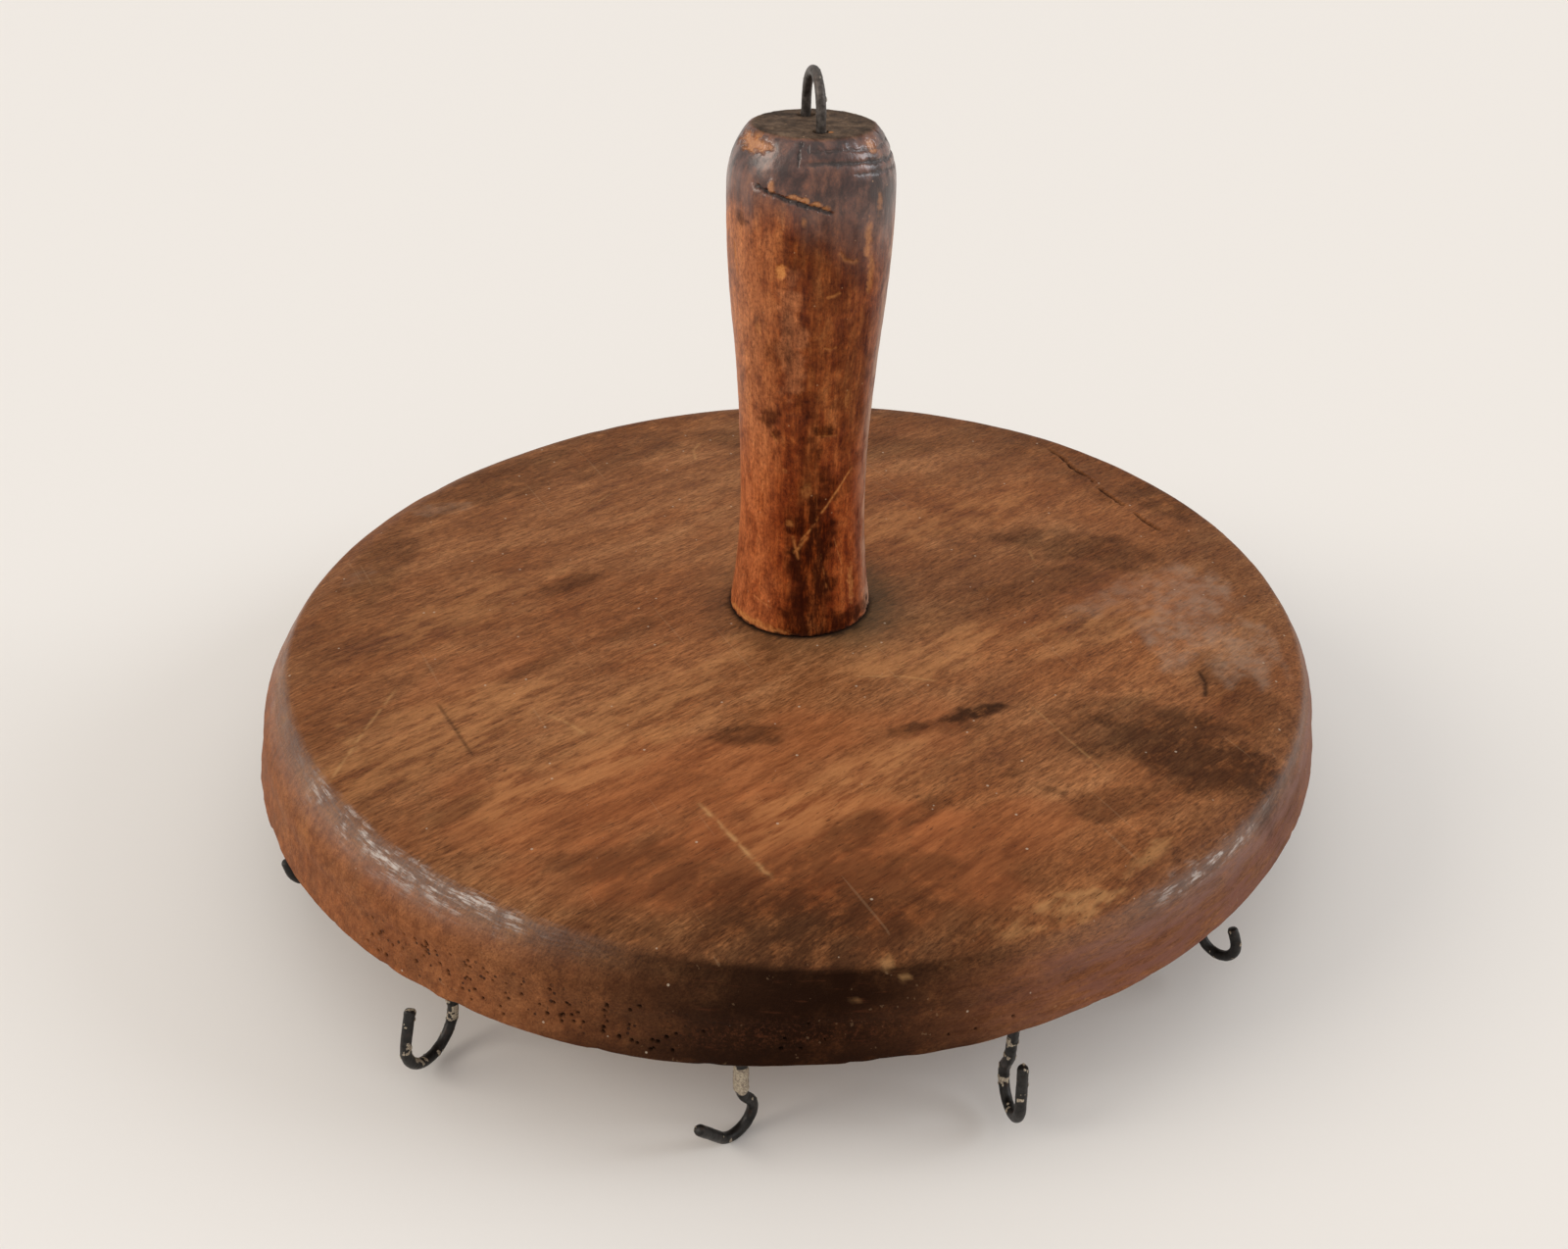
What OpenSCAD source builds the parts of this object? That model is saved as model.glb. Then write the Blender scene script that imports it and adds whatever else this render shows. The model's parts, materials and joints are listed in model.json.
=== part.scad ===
// Candle dipping wheel: a thick turned disc with an upright hand grip on top,
// a wire staple in the grip's end to hang it by, and a ring of bent-wire screw
// hooks under the rim that carry the wicks.
//
// Millimetres. The origin is the centre of the disc's underside, +Z runs up
// along the grip, and every hook hangs below z = 0.

/* [Disc] */
// Mean radius of the disc where its edge rounding starts
disc_radius = 127; // [100:1:160]
// Thickness of the board
disc_thickness = 21.2; // [18:0.1:30]
// How much longer the disc is along the grain than its mean, and shorter across it
shrinkage = 0.031; // [0:0.001:0.05]
// Direction of the board's grain, measured from +X
grain_angle = 43; // [0:1:180]
// How far the top edge's rounding reaches in from the rim
edge_reach = 11.5; // [6:0.5:16]
// How far the top edge's rounding drops below the top face
edge_drop = 12.6; // [6:0.1:14]
// How much wider the underside is than the rim above it, on the radius
rim_flare = 2.2; // [0.5:0.1:4]

/* [Grip] */
// Height of the grip above the disc
grip_height = 115.8; // [100:0.1:130]
// Radius at the foot, where the shoulder sits on the disc
foot_radius = 17.4; // [16:0.1:20]
// Radius at the waist
waist_radius = 14.8; // [12:0.1:15.5]
// Height of the waist above the disc
waist_height = 32; // [26:1:38]
// Radius at the belly, the widest place near the top
belly_radius = 18; // [17:0.1:20]
// Height of the belly above the disc
belly_height = 97; // [92:1:98]
// Radius of the belly's long lengthwise curve
belly_curve = 230; // [200:5:260]
// Radius of the rounding between the belly and the flat end
shoulder_curve = 18; // [15:0.5:22]
// Height above the disc where that rounding starts
shoulder_height = 104; // [102:1:105]

/* [Tenon] */
// Diameter of the round tenon that holds the grip in the disc
tenon_diameter = 20; // [14:1:24]
// How far the tenon's end stays inside the underside
tenon_recess = 0.5; // [0.2:0.1:2]
// Length of the wedge driven into the tenon
wedge_length = 15; // [8:1:18]
// Thickness of the wedge at its driven end
wedge_back = 3; // [2:0.5:4]
// Thickness of the wedge at its thin edge
wedge_edge = 1; // [0.5:0.1:1.5]

/* [Hanging staple] */
// Diameter of the staple's wire
staple_wire = 2.1; // [1.6:0.1:3]
// Distance between the two legs, centre to centre
staple_span = 15; // [12:0.5:18]
// Height of the loop's crown above the grip's end, to the wire's centre
staple_rise = 10.1; // [9.5:0.1:20]
// How deep the legs are driven
staple_depth = 14; // [8:1:20]
// Direction of the line through both legs, measured from +X
staple_turn = 102; // [0:1:180]

/* [Hooks] */
// Number of hooks round the rim
hook_count = 13; // [4:1:13]
// Diameter of the hooks' wire
hook_wire = 2.3; // [1.8:0.1:3]
// How far in from the rim the hooks stand
hook_inset = 6.5; // [6:0.5:20]
// Direction of the first hook, measured from +X
first_hook_angle = -95.3; // [-180:0.1:180]
// How deep a shank goes into the disc
shank_depth = 11; // [8:1:12]
// Radial gap between a shank and its hole
shank_gap = 0.05; // [0.01:0.01:0.1]
// Radius of the backward kick above the bowl
kick_radius = 8; // [4:0.5:12]

/* [Hidden] */

// Each hook was bent and set by hand. A row holds: how far the hook stands from its
// even place round the rim, how far it is turned from facing straight out, the straight
// drop below the disc, the angle of the backward kick, the bowl's radius, how far the
// tip leans back past upright, and the tip's length.
HOOK_BENDS = [
  [1.2, -42, 15, 41, 4.6, -38, 9.3],
  [-1, -10, 12.5, 31, 5.2, 10, 10],
  [1.2, -9, 6, 53, 4.6, 29, 2.8],
  [-0.5, 66, 12, 20, 6, 5, 5],
  [1, -14, 10, 30, 5.8, 15, 4],
  [-1.2, 12, 13, 25, 6.2, 8, 6],
  [0.6, -9, 10, 34, 5.2, 10, 5],
  [0, 3, 14, 15, 6.6, 16, 6],
  [1.5, -24, 11, 36, 5.6, -10, 7],
  [-1, 8, 10, 25, 6, 20, 3],
  [0.8, -6, 12, 30, 5.4, 4, 5],
  [-3, 14, 13, 24, 5.6, -10, 4],
  [-2.4, 10, 16.5, 10, 7.5, 20, 7.5]
];

HOOK_PITCH = 360 / hook_count;
WIRE_POINT = 3;
// A ball hardly thicker than the wire closes each joint between two runs of a hook.
BEAD = 0.02;
HOLE_SPARE = 0.5;
KERF_SPARE = 1;
BLANK = 2 * disc_radius;
FINE = 128;
GRIP_STEPS = 58;
WIRE_FN = 48;

disc_top = disc_thickness;
grip_top = disc_top + grip_height;
rounding_start = disc_thickness - edge_drop;
flat_radius = disc_radius - edge_reach;
tenon_radius = tenon_diameter / 2;
hook_circle = disc_radius - hook_inset;

// ---- Disc -------------------------------------------------------------

// The turned blank before it shrank: flared side, rounded top edge, and a flat
// crown left 1 mm proud at both faces so that the board's two planes cut it.
module turned_blank() {
  side_slope = rim_flare / rounding_start;
  translate([0, 0, -1])
    cylinder(r1 = disc_radius + rim_flare + side_slope, r2 = disc_radius,
             h = rounding_start + 1, $fn = 2 * FINE);
  translate([0, 0, rounding_start])
    cylinder(r = flat_radius, h = edge_drop + 1, $fn = 2 * FINE);
  translate([0, 0, rounding_start]) rim_rounding();
}

// Upper half of a ring whose section is a quarter ellipse on the outside.
module rim_rounding() {
  intersection() {
    scale([1, 1, edge_drop / edge_reach])
      rotate_extrude($fn = 2 * FINE)
        translate([flat_radius, 0]) circle(r = edge_reach, $fn = FINE);
    translate([-BLANK, -BLANK, 0]) cube([2 * BLANK, 2 * BLANK, 2 * edge_drop]);
  }
}

module board_planes() {
  translate([-BLANK, -BLANK, 0]) cube([2 * BLANK, 2 * BLANK, disc_thickness]);
}

module disc() {
  color("#7a5238")
  difference() {
    intersection() {
      rotate([0, 0, grain_angle])
        scale([1 + shrinkage, 1 - shrinkage, 1])
          turned_blank();
      board_planes();
    }
    translate([0, 0, -1]) cylinder(r = tenon_radius, h = disc_thickness + 2, $fn = FINE);
    for (i = [0 : hook_count - 1])
      at_hook(i) translate([0, 0, -1])
        cylinder(r = hook_wire / 2 + shank_gap, h = shank_depth + HOLE_SPARE + 1, $fn = WIRE_FN);
  }
}

// ---- Grip -------------------------------------------------------------

// Centre height and radius of the concave curve from the waist down to the foot.
function foot_curve() =
  let (flare = foot_radius - waist_radius)
  (waist_height * waist_height + flare * flare) / (2 * flare);

// The concave curve above the waist meets the convex belly curve tangentially:
// their centres are waist_curve() + belly_curve apart.
function waist_curve() =
  let (rise = belly_height - waist_height, spread = belly_radius - waist_radius)
  (rise * rise - 2 * spread * belly_curve + spread * spread) / (2 * spread);

// Where the curve above the waist hands over to the belly curve, and where the
// rounding of the end has its centre.
belly_x = belly_radius - belly_curve;
belly_join = waist_height
  + (belly_height - waist_height) * waist_curve() / (waist_curve() + belly_curve);
end_lean = asin((shoulder_height - belly_height) / belly_curve);
end_x = belly_x + (belly_curve - shoulder_curve) * cos(end_lean);
end_height = belly_height + (belly_curve - shoulder_curve) * sin(end_lean);

// Distance from the middle to the side of a circular arc at a height off its centre.
function arc_reach(radius, off) = sqrt(radius * radius - off * off);

// Radius of the grip at a height above the disc: four arcs, each tangent to the next.
function grip_radius(h) =
  h < waist_height ? waist_radius + foot_curve() - arc_reach(foot_curve(), h - waist_height)
  : h < belly_join ? waist_radius + waist_curve() - arc_reach(waist_curve(), h - waist_height)
  : h < shoulder_height ? belly_x + arc_reach(belly_curve, h - belly_height)
  : end_x + arc_reach(shoulder_curve, h - end_height);

// Half section of the grip and its tenon, from the centre line outwards.
module grip_section() {
  polygon([
    [0, tenon_recess],
    [tenon_radius, tenon_recess],
    [tenon_radius, disc_top],
    for (step = [0 : GRIP_STEPS])
      let (h = grip_height * step / GRIP_STEPS)
      [grip_radius(h), disc_top + h],
    [0, grip_top]
  ]);
}

// A flat taper standing on the tenon's end, across the board's grain.
module wedge_taper(spare = 0) {
  half_width = tenon_radius + spare;
  rotate([0, 0, grain_angle])
    translate([0, half_width, tenon_recess])
      rotate([90, 0, 0])
        linear_extrude(2 * half_width)
          polygon([
            [-wedge_back / 2, 0],
            [wedge_back / 2, 0],
            [wedge_edge / 2, wedge_length],
            [-wedge_edge / 2, wedge_length]
          ]);
}

module grip() {
  color("#8a4a2c")
  difference() {
    rotate_extrude($fn = FINE) grip_section();
    wedge_taper(KERF_SPARE);
    for (side = [-1, 1])
      at_staple() translate([side * staple_span / 2, 0, -staple_depth - HOLE_SPARE])
        cylinder(d = staple_wire, h = staple_depth + HOLE_SPARE + 1, $fn = WIRE_FN);
  }
}

module tenon_wedge() {
  color("#b08a5a")
  intersection() {
    wedge_taper();
    cylinder(r = tenon_radius, h = disc_top, $fn = FINE);
  }
}

// ---- Wire parts -------------------------------------------------------

// A straight run of wire going down from the origin, sharpened at its lower end.
module pointed_leg(wire, length) {
  translate([0, 0, -length + WIRE_POINT])
    cylinder(d = wire, h = length - WIRE_POINT, $fn = WIRE_FN);
  translate([0, 0, -length])
    cylinder(d1 = wire / 5, d2 = wire, h = WIRE_POINT, $fn = WIRE_FN);
}

// An arc of wire in the XZ plane round the origin, angles measured from +X to +Z.
module bend(wire, radius, start, end) {
  rotate([90, 0, 0])
    rotate([0, 0, start])
      rotate_extrude(angle = end - start, $fn = FINE)
        translate([radius, 0]) circle(d = wire, $fn = WIRE_FN);
}

module at_staple() {
  translate([0, 0, grip_top]) rotate([0, 0, staple_turn]) children();
}

module hanging_staple() {
  crown = staple_rise - staple_span / 2;
  color("#4a4540")
  at_staple() {
    for (side = [-1, 1])
      translate([side * staple_span / 2, 0, crown])
        pointed_leg(staple_wire, staple_depth + crown);
    translate([0, 0, crown]) bend(staple_wire, staple_span / 2, 0, 180);
  }
}

module at_hook(i) {
  rotate([0, 0, first_hook_angle + i * HOOK_PITCH + HOOK_BENDS[i][0]])
    translate([hook_circle, 0, 0]) children();
}

// A screw hook: shank up in the wood, straight drop, kick back, bowl, tip.
// A heading is 0 going down and 180 going up; the bowl turns towards +X.
module hook(i) {
  turn = HOOK_BENDS[i][1];
  drop = HOOK_BENDS[i][2];
  kick = HOOK_BENDS[i][3];
  bowl_radius = HOOK_BENDS[i][4];
  tip_lean = HOOK_BENDS[i][5];
  tip_length = HOOK_BENDS[i][6];

  kick_end = [kick_radius * (cos(kick) - 1), -drop - kick_radius * sin(kick)];
  bowl = kick_end + bowl_radius * [cos(kick), -sin(kick)];
  tip = bowl + bowl_radius * [cos(tip_lean), sin(tip_lean)];

  color("#2e2b29")
  at_hook(i) rotate([0, 0, turn]) {
    translate([0, 0, -drop]) mirror([0, 0, 1]) pointed_leg(hook_wire, drop + shank_depth);
    translate([-kick_radius, 0, -drop]) bend(hook_wire, kick_radius, -kick, 0);
    translate([bowl[0], 0, bowl[1]])
      bend(hook_wire, bowl_radius, 180 - kick, 360 + tip_lean);
    translate([tip[0], 0, tip[1]]) rotate([0, -tip_lean, 0])
      cylinder(d = hook_wire, h = tip_length, $fn = WIRE_FN);
    for (joint = [[0, -drop], kick_end, tip])
      translate([joint[0], 0, joint[1]]) sphere(r = hook_wire / 2 + BEAD, $fn = WIRE_FN);
  }
}

module hook_01() hook(0);
module hook_02() hook(1);
module hook_03() hook(2);
module hook_04() hook(3);
module hook_05() hook(4);
module hook_06() hook(5);
module hook_07() hook(6);
module hook_08() hook(7);
module hook_09() hook(8);
module hook_10() hook(9);
module hook_11() hook(10);
module hook_12() hook(11);
module hook_13() hook(12);

disc();
grip();
tenon_wedge();
hanging_staple();
hook_01();
hook_02();
hook_03();
hook_04();
hook_05();
hook_06();
hook_07();
hook_08();
hook_09();
hook_10();
hook_11();
hook_12();
hook_13();
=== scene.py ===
"""Looks of the candle dipping wheel: worn turned wood, iron wire and old wax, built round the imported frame.

Lengths are in millimetres unless a name says otherwise, and turn into metres where a mesh is made.
Directions are in degrees from +X towards +Y. The disc's grain runs along GRAIN.
"""
import json
import math
from collections import namedtuple

import bmesh
import bpy
import numpy as np
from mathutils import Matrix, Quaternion, Vector


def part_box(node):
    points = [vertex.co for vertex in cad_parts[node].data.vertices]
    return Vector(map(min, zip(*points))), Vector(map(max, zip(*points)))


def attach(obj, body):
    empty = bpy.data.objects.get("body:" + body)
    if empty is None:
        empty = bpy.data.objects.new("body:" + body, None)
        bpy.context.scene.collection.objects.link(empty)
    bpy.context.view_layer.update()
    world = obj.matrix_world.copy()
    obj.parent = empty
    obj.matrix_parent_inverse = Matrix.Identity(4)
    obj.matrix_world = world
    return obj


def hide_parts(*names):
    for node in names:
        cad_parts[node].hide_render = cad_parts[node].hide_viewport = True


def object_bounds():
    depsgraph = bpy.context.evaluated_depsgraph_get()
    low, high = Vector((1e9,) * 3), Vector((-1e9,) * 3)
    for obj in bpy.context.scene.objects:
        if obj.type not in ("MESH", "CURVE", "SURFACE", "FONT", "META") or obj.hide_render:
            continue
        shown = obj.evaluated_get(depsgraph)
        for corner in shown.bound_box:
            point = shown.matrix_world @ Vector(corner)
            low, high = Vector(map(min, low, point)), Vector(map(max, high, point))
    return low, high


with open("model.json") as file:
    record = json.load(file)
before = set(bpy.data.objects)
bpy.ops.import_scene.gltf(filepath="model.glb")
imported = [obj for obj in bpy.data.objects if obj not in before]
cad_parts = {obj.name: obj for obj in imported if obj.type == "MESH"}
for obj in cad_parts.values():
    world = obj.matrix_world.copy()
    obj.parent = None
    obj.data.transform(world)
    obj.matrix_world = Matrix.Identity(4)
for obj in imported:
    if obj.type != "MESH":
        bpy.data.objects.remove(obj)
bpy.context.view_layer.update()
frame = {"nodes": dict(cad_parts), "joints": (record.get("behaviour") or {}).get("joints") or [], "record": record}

MM = 0.001
GRAIN = 43.0
# The disc's upper edge is rounded over this much of its radius and its height; the side below it flares.
EDGE_REACH = 11.5
EDGE_DROP = 12.6
BOTTOM_EDGE = 1.0
RIM_FLARE = 2.2
# How far down the rounding, in reach plus drop, use has worn a firm brink.
BRINK = 8.5
TENON_RADIUS = 10.0
# Mean radius of the grip, which turns a direction into a distance round its girth.
GIRTH_RADIUS = 16.5
STAPLE_WIRE = 2.1
HOOK_WIRE = 2.3
# Length of a wire's sharpened point.
POINT_LENGTH = 3.0


# ---- Noise and small shapes ----


def lattice_value(ix, iy, iz, seed):
    """A repeatable number from -1 to 1 for each whole-number place."""
    h = (ix * 73856093) ^ (iy * 19349663) ^ (iz * 83492791) ^ (seed * 40503)
    h = h & 0xFFFFFFFF
    h = ((h ^ (h >> 15)) * 0x2C1B3C6D) & 0xFFFFFFFF
    h = ((h ^ (h >> 12)) * 0x297A2D39) & 0xFFFFFFFF
    h = h ^ (h >> 15)
    return (h & 0xFFFFFF) / 0x7FFFFF - 1.0


def noise(points, seed):
    """Smooth value noise at an array of points, about -1 to 1."""
    cell = np.floor(points).astype(np.int64)
    f = points - cell
    f = f * f * f * (f * (f * 6 - 15) + 10)
    total = np.zeros(len(points))
    for dx in (0, 1):
        for dy in (0, 1):
            for dz in (0, 1):
                weight = np.where(dx, f[:, 0], 1 - f[:, 0])
                weight = weight * np.where(dy, f[:, 1], 1 - f[:, 1])
                weight = weight * np.where(dz, f[:, 2], 1 - f[:, 2])
                total += weight * lattice_value(cell[:, 0] + dx, cell[:, 1] + dy, cell[:, 2] + dz, seed)
    return total


def fractal(points, seed, octaves=3):
    total = np.zeros(len(points))
    for k in range(octaves):
        total += noise(points * 2**k, seed + 17 * k) / 2**k
    return total / 1.6


def smooth(x, low, high):
    """0 below low, 1 above high, eased between; low may be above high."""
    t = np.clip((x - low) / (high - low), 0, 1)
    return t * t * (3 - 2 * t)


def bell(x, width):
    """1 where x is 0, fading to 0 on both sides."""
    return np.exp(-((x / width) ** 2))


def between(x, a, b, c, d):
    """0 outside a to d, 1 from b to c, eased between."""
    return smooth(x, a, b) * smooth(x, d, c)


def turned(x, y, angle):
    """Coordinates along and across a direction given in degrees."""
    c, s = math.cos(math.radians(angle)), math.sin(math.radians(angle))
    return x * c + y * s, y * c - x * s


def blot(points, centre, half_size, angle, ragged=0.35, seed=1):
    """A soft patch with an uneven edge in the first two coordinates: 1 inside, 0 outside."""
    along, across = turned(points[:, 0] - centre[0], points[:, 1] - centre[1], angle)
    d = np.hypot(along / half_size[0], across / half_size[1])
    scale = 2.2 / min(half_size)
    wobble = fractal(np.column_stack([along * scale * 0.5, across * scale, points[:, 2] * scale]), seed)
    return 1 - smooth(d + ragged * wobble, 0.55, 1.15)


def path_distance(points, path):
    """Distance from 2D points to a polyline, and how far along it the nearest place is (0 to 1)."""
    path = np.array(path, float)
    lengths = np.hypot(*(path[1:] - path[:-1]).T)
    best = np.full(len(points), 1e9)
    share = np.zeros(len(points))
    done = 0.0
    for a, b, length in zip(path[:-1], path[1:], lengths):
        t = np.clip(((points[:, :2] - a) @ (b - a)) / length**2, 0, 1)
        d = np.hypot(*(points[:, :2] - a - t[:, None] * (b - a)).T)
        nearer = d < best
        best[nearer] = d[nearer]
        share[nearer] = (done + t[nearer] * length) / lengths.sum()
        done += length
    return best, share


def groove(distance, share, width):
    """Section of a scratch: 1 in its middle, fading to its sides and both ends."""
    return bell(distance, width) * between(share, 0, 0.12, 0.88, 1)


# A scratch or cut: its width, how deep it is, how much of the raw wood it shows, how dark it is painted (dirt, but
# painted shade in the grip's deep notch), and the places it runs through.
Mark = namedtuple("Mark", "width depth pale dark path")


# ---- Meshes ----


def loft(rings, closed):
    """Vertices and quads of rings of equal count. closed joins the last ring to the first; otherwise both
    end rings are filled with a fan round their middle."""
    rings = np.asarray(rings)
    m, n = rings.shape[:2]
    verts = rings.reshape(-1, 3)
    i, j = np.meshgrid(np.arange(m if closed else m - 1), np.arange(n), indexing="ij")
    below, right = (i + 1) % m, (j + 1) % n
    quads = np.stack([i * n + j, i * n + right, below * n + right, below * n + j], -1).reshape(-1, 4)
    faces = [tuple(q) for q in quads.tolist()]
    if not closed:
        verts = np.vstack([verts, rings[0].mean(0), rings[-1].mean(0)])
        faces += [(m * n, (k + 1) % n, k) for k in range(n)]
        last = (m - 1) * n
        faces += [(m * n + 1, last + k, last + (k + 1) % n) for k in range(n)]
    return verts, faces


def build(name, verts, faces):
    mesh = bpy.data.meshes.new(name)
    mesh.from_pydata((verts * MM).tolist(), [], faces)
    mesh.validate()
    piece = bpy.data.objects.new(name, mesh)
    bpy.context.scene.collection.objects.link(piece)
    return piece


def read_points(piece):
    co = np.zeros(len(piece.data.vertices) * 3)
    piece.data.vertices.foreach_get("co", co)
    return co.reshape(-1, 3) / MM


def read_normals(piece):
    no = np.zeros(len(piece.data.vertices) * 3)
    piece.data.vertices.foreach_get("normal", no)
    return no.reshape(-1, 3)


def move_points(piece, points):
    piece.data.vertices.foreach_set("co", (points * MM).ravel())
    piece.data.update()


def refine(piece, near):
    """Halves every edge whose two ends both satisfy near, a test on an array of points."""
    wanted = near(read_points(piece))
    bm = bmesh.new()
    bm.from_mesh(piece.data)
    edges = [e for e in bm.edges if wanted[e.verts[0].index] and wanted[e.verts[1].index]]
    bmesh.ops.subdivide_edges(bm, edges=edges, cuts=1, use_grid_fill=True)
    bm.to_mesh(piece.data)
    bm.free()
    piece.data.update()


def face_outwards(piece):
    bm = bmesh.new()
    bm.from_mesh(piece.data)
    bmesh.ops.recalc_face_normals(bm, faces=bm.faces)
    bm.to_mesh(piece.data)
    bm.free()
    piece.data.update()


def paint(piece, **masks):
    """Stores each mask as a number per vertex, which the materials read by name."""
    for name, values in masks.items():
        layer = piece.data.attributes.new(name, "FLOAT", "POINT")
        layer.data.foreach_set("value", np.clip(values, 0, 1).astype(np.float32))


def paint_space(piece, name, values):
    """Stores coordinates per vertex, in metres like the object's own."""
    layer = piece.data.attributes.new(name, "FLOAT_VECTOR", "POINT")
    layer.data.foreach_set("vector", (values * MM).ravel().astype(np.float32))


class Skin:
    """A piece being worked on: its points, how far each rises along its normal, and its paint masks."""

    def __init__(self, piece):
        self.piece = piece
        self.points, self.normals = read_points(piece), read_normals(piece)
        self.x, self.y, self.z = self.points.T
        self.rho = np.hypot(self.x, self.y)
        self.angle = np.degrees(np.arctan2(self.y, self.x))
        self.rise = np.zeros(len(self.points))
        self.masks = {}

    def noise(self, size, seed):
        return fractal(self.points / size, seed)

    def mark(self, **strengths):
        """Brings each named mask up to a strength, where it isn't above it already."""
        for name, strength in strengths.items():
            self.masks[name] = np.maximum(self.masks.get(name, 0.0), strength)

    def mark_at(self, places, **strengths):
        """The same for some of the points only."""
        for name, strength in strengths.items():
            everywhere = np.zeros(len(self.points))
            everywhere[places] = strength
            self.mark(**{name: everywhere})

    def finish(self):
        move_points(self.piece, self.points + self.normals * self.rise[:, None])
        paint(self.piece, **self.masks)


def patches(points, table, ragged, seed):
    """The strongest of a table of blots at each point."""
    strongest = np.zeros(len(points))
    for k, (centre, size, angle, strength) in enumerate(table):
        reach = 2.0 * max(size)
        near = np.flatnonzero((np.abs(points[:, :2] - centre) < reach).all(1))
        patch = strength * blot(points[near], centre, size, angle, ragged, seed + k)
        strongest[near] = np.maximum(strongest[near], patch)
    return strongest


def finish_piece(piece, material, body, slot, *nodes):
    piece.data.materials.clear()
    piece.data.materials.append(material)
    piece.data.shade_smooth()
    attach(piece, body)
    if nodes:
        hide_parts(*nodes)


# ---- Material helper ----


class Shader:
    """Builds one material: a colour that coats are laid over, a roughness and a relief. Sizes given to it
    are in millimetres."""

    def __init__(self, name):
        self.material = bpy.data.materials.new(name)
        self.material.use_nodes = True
        self.tree = self.material.node_tree
        self.surface = self.tree.nodes["Principled BSDF"]
        self.place = self.add("ShaderNodeTexCoord").outputs["Object"]
        self.colour, self.rough, self.normal = None, None, None

    def add(self, kind, inputs=None, **settings):
        """A node with its settings, and a value or a link for each input named."""
        node = self.tree.nodes.new(kind)
        for key, value in settings.items():
            setattr(node, key, value)
        for name, value in (inputs or {}).items():
            self.feed(node.inputs[name], value)
        return node

    def feed(self, socket, value):
        if isinstance(value, bpy.types.NodeSocket):
            self.tree.links.new(value, socket)
        elif isinstance(value, tuple) and len(value) == 3 and socket.type == "RGBA":
            socket.default_value = (*value, 1)
        else:
            socket.default_value = value

    def stretched(self, where, scale, offset=(0, 0, 0)):
        return self.add("ShaderNodeMapping", dict(Vector=where, Scale=scale, Location=offset)).outputs[0]

    def along_grain(self, angle, stretch, offset=(0, 0, 0)):
        """Coordinates turned to the grain and shortened along it by stretch."""
        turn = dict(Vector=self.place, Rotation=(0, 0, math.radians(-angle)))
        return self.stretched(self.add("ShaderNodeMapping", turn).outputs[0], (1 / stretch, 1, 1), offset)

    def upright_grain(self, stretch):
        """Coordinates shortened along Z by stretch."""
        return self.stretched(self.place, (1, 1, 1 / stretch))

    def noise(self, where, size, detail, rough, twist=0.0):
        inputs = dict(Vector=where, Scale=1 / (size * MM), Detail=detail, Roughness=rough, Distortion=twist)
        return self.add("ShaderNodeTexNoise", inputs).outputs["Fac"]

    def cells(self, where, size):
        inputs = dict(Vector=where, Scale=1 / (size * MM))
        return self.add("ShaderNodeTexVoronoi", inputs).outputs["Distance"]

    def span(self, value, low, high, to_low=0.0, to_high=1.0):
        """to_low where value is low, to_high where it is high, eased between."""
        inputs = {"Value": value, "From Min": low, "From Max": high, "To Min": to_low, "To Max": to_high}
        return self.add("ShaderNodeMapRange", inputs, interpolation_type="SMOOTHSTEP").outputs["Result"]

    def combine(self, operation, first, others):
        for other in others:
            first = self.add("ShaderNodeMath", {0: first, 1: other}, operation=operation).outputs[0]
        return first

    def times(self, first, *others):
        return self.combine("MULTIPLY", first, others)

    def plus(self, first, *others):
        return self.combine("ADD", first, others)

    def less(self, value):
        """1 minus a value."""
        return self.combine("SUBTRACT", 1.0, [value])

    def mask(self, name, *shares):
        """A painted mask, times any shares given."""
        return self.times(self.add("ShaderNodeAttribute", attribute_name=name).outputs["Fac"], *shares)

    def mix(self, amount, a, b, blend="MIX"):
        inputs = dict(Factor=amount, A=a, B=b)
        return self.add("ShaderNodeMix", inputs, data_type="RGBA", blend_type=blend).outputs["Result"]

    def coat(self, share, colour, blend="MIX"):
        """Lays a colour over what is there; share says how much of it shows."""
        self.colour = self.mix(share, self.colour, colour, blend)

    def tint(self, value, low, high, share, colour):
        """Multiplies what is there by a colour, where value goes from low to high."""
        self.coat(self.span(value, low, high, 0, share), colour, "MULTIPLY")

    def ramp(self, value, *stops):
        node = self.add("ShaderNodeValToRGB", {0: value})
        band = node.color_ramp
        while len(band.elements) < len(stops):
            band.elements.new(0.5)
        for element, (position, colour) in zip(band.elements, stops):
            element.position = position
            element.color = (*colour, 1)
        return node.outputs[0]

    def relief(self, height, depth, strength):
        """Adds fine relief to what is there."""
        inputs = dict(Height=height, Distance=depth * MM, Strength=strength)
        if self.normal is not None:
            inputs["Normal"] = self.normal
        self.normal = self.add("ShaderNodeBump", inputs).outputs[0]

    def finish(self, **more):
        values = {"Base Color": self.colour, "Roughness": self.rough, "Normal": self.normal}
        for name, value in more.items():
            values[name.replace("_", " ")] = value
        for name, value in values.items():
            self.feed(self.surface.inputs[name], value)
        return self.material


# ---- The disc ----

DISC_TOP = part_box("disc")[1].z / MM
GRIP_BOTTOM, GRIP_TOP = (corner.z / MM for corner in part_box("grip"))

disc_points = read_points(frame["nodes"]["disc"])
along_all, across_all = turned(disc_points[:, 0], disc_points[:, 1], GRAIN)
HALF_LENGTH = along_all.max()
HALF_BREADTH = across_all.max()
FOOT_RADIUS = (HALF_LENGTH + HALF_BREADTH) / 2
RIM_RADIUS = FOOT_RADIUS - RIM_FLARE
OUT_OF_ROUND = (HALF_LENGTH - HALF_BREADTH) / (HALF_LENGTH + HALF_BREADTH)

hook_joints = [j for j in frame["joints"] if j["child"].startswith("hook_")]
hook_feet = np.array([j["pos_m"] for j in hook_joints]) / MM

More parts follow.
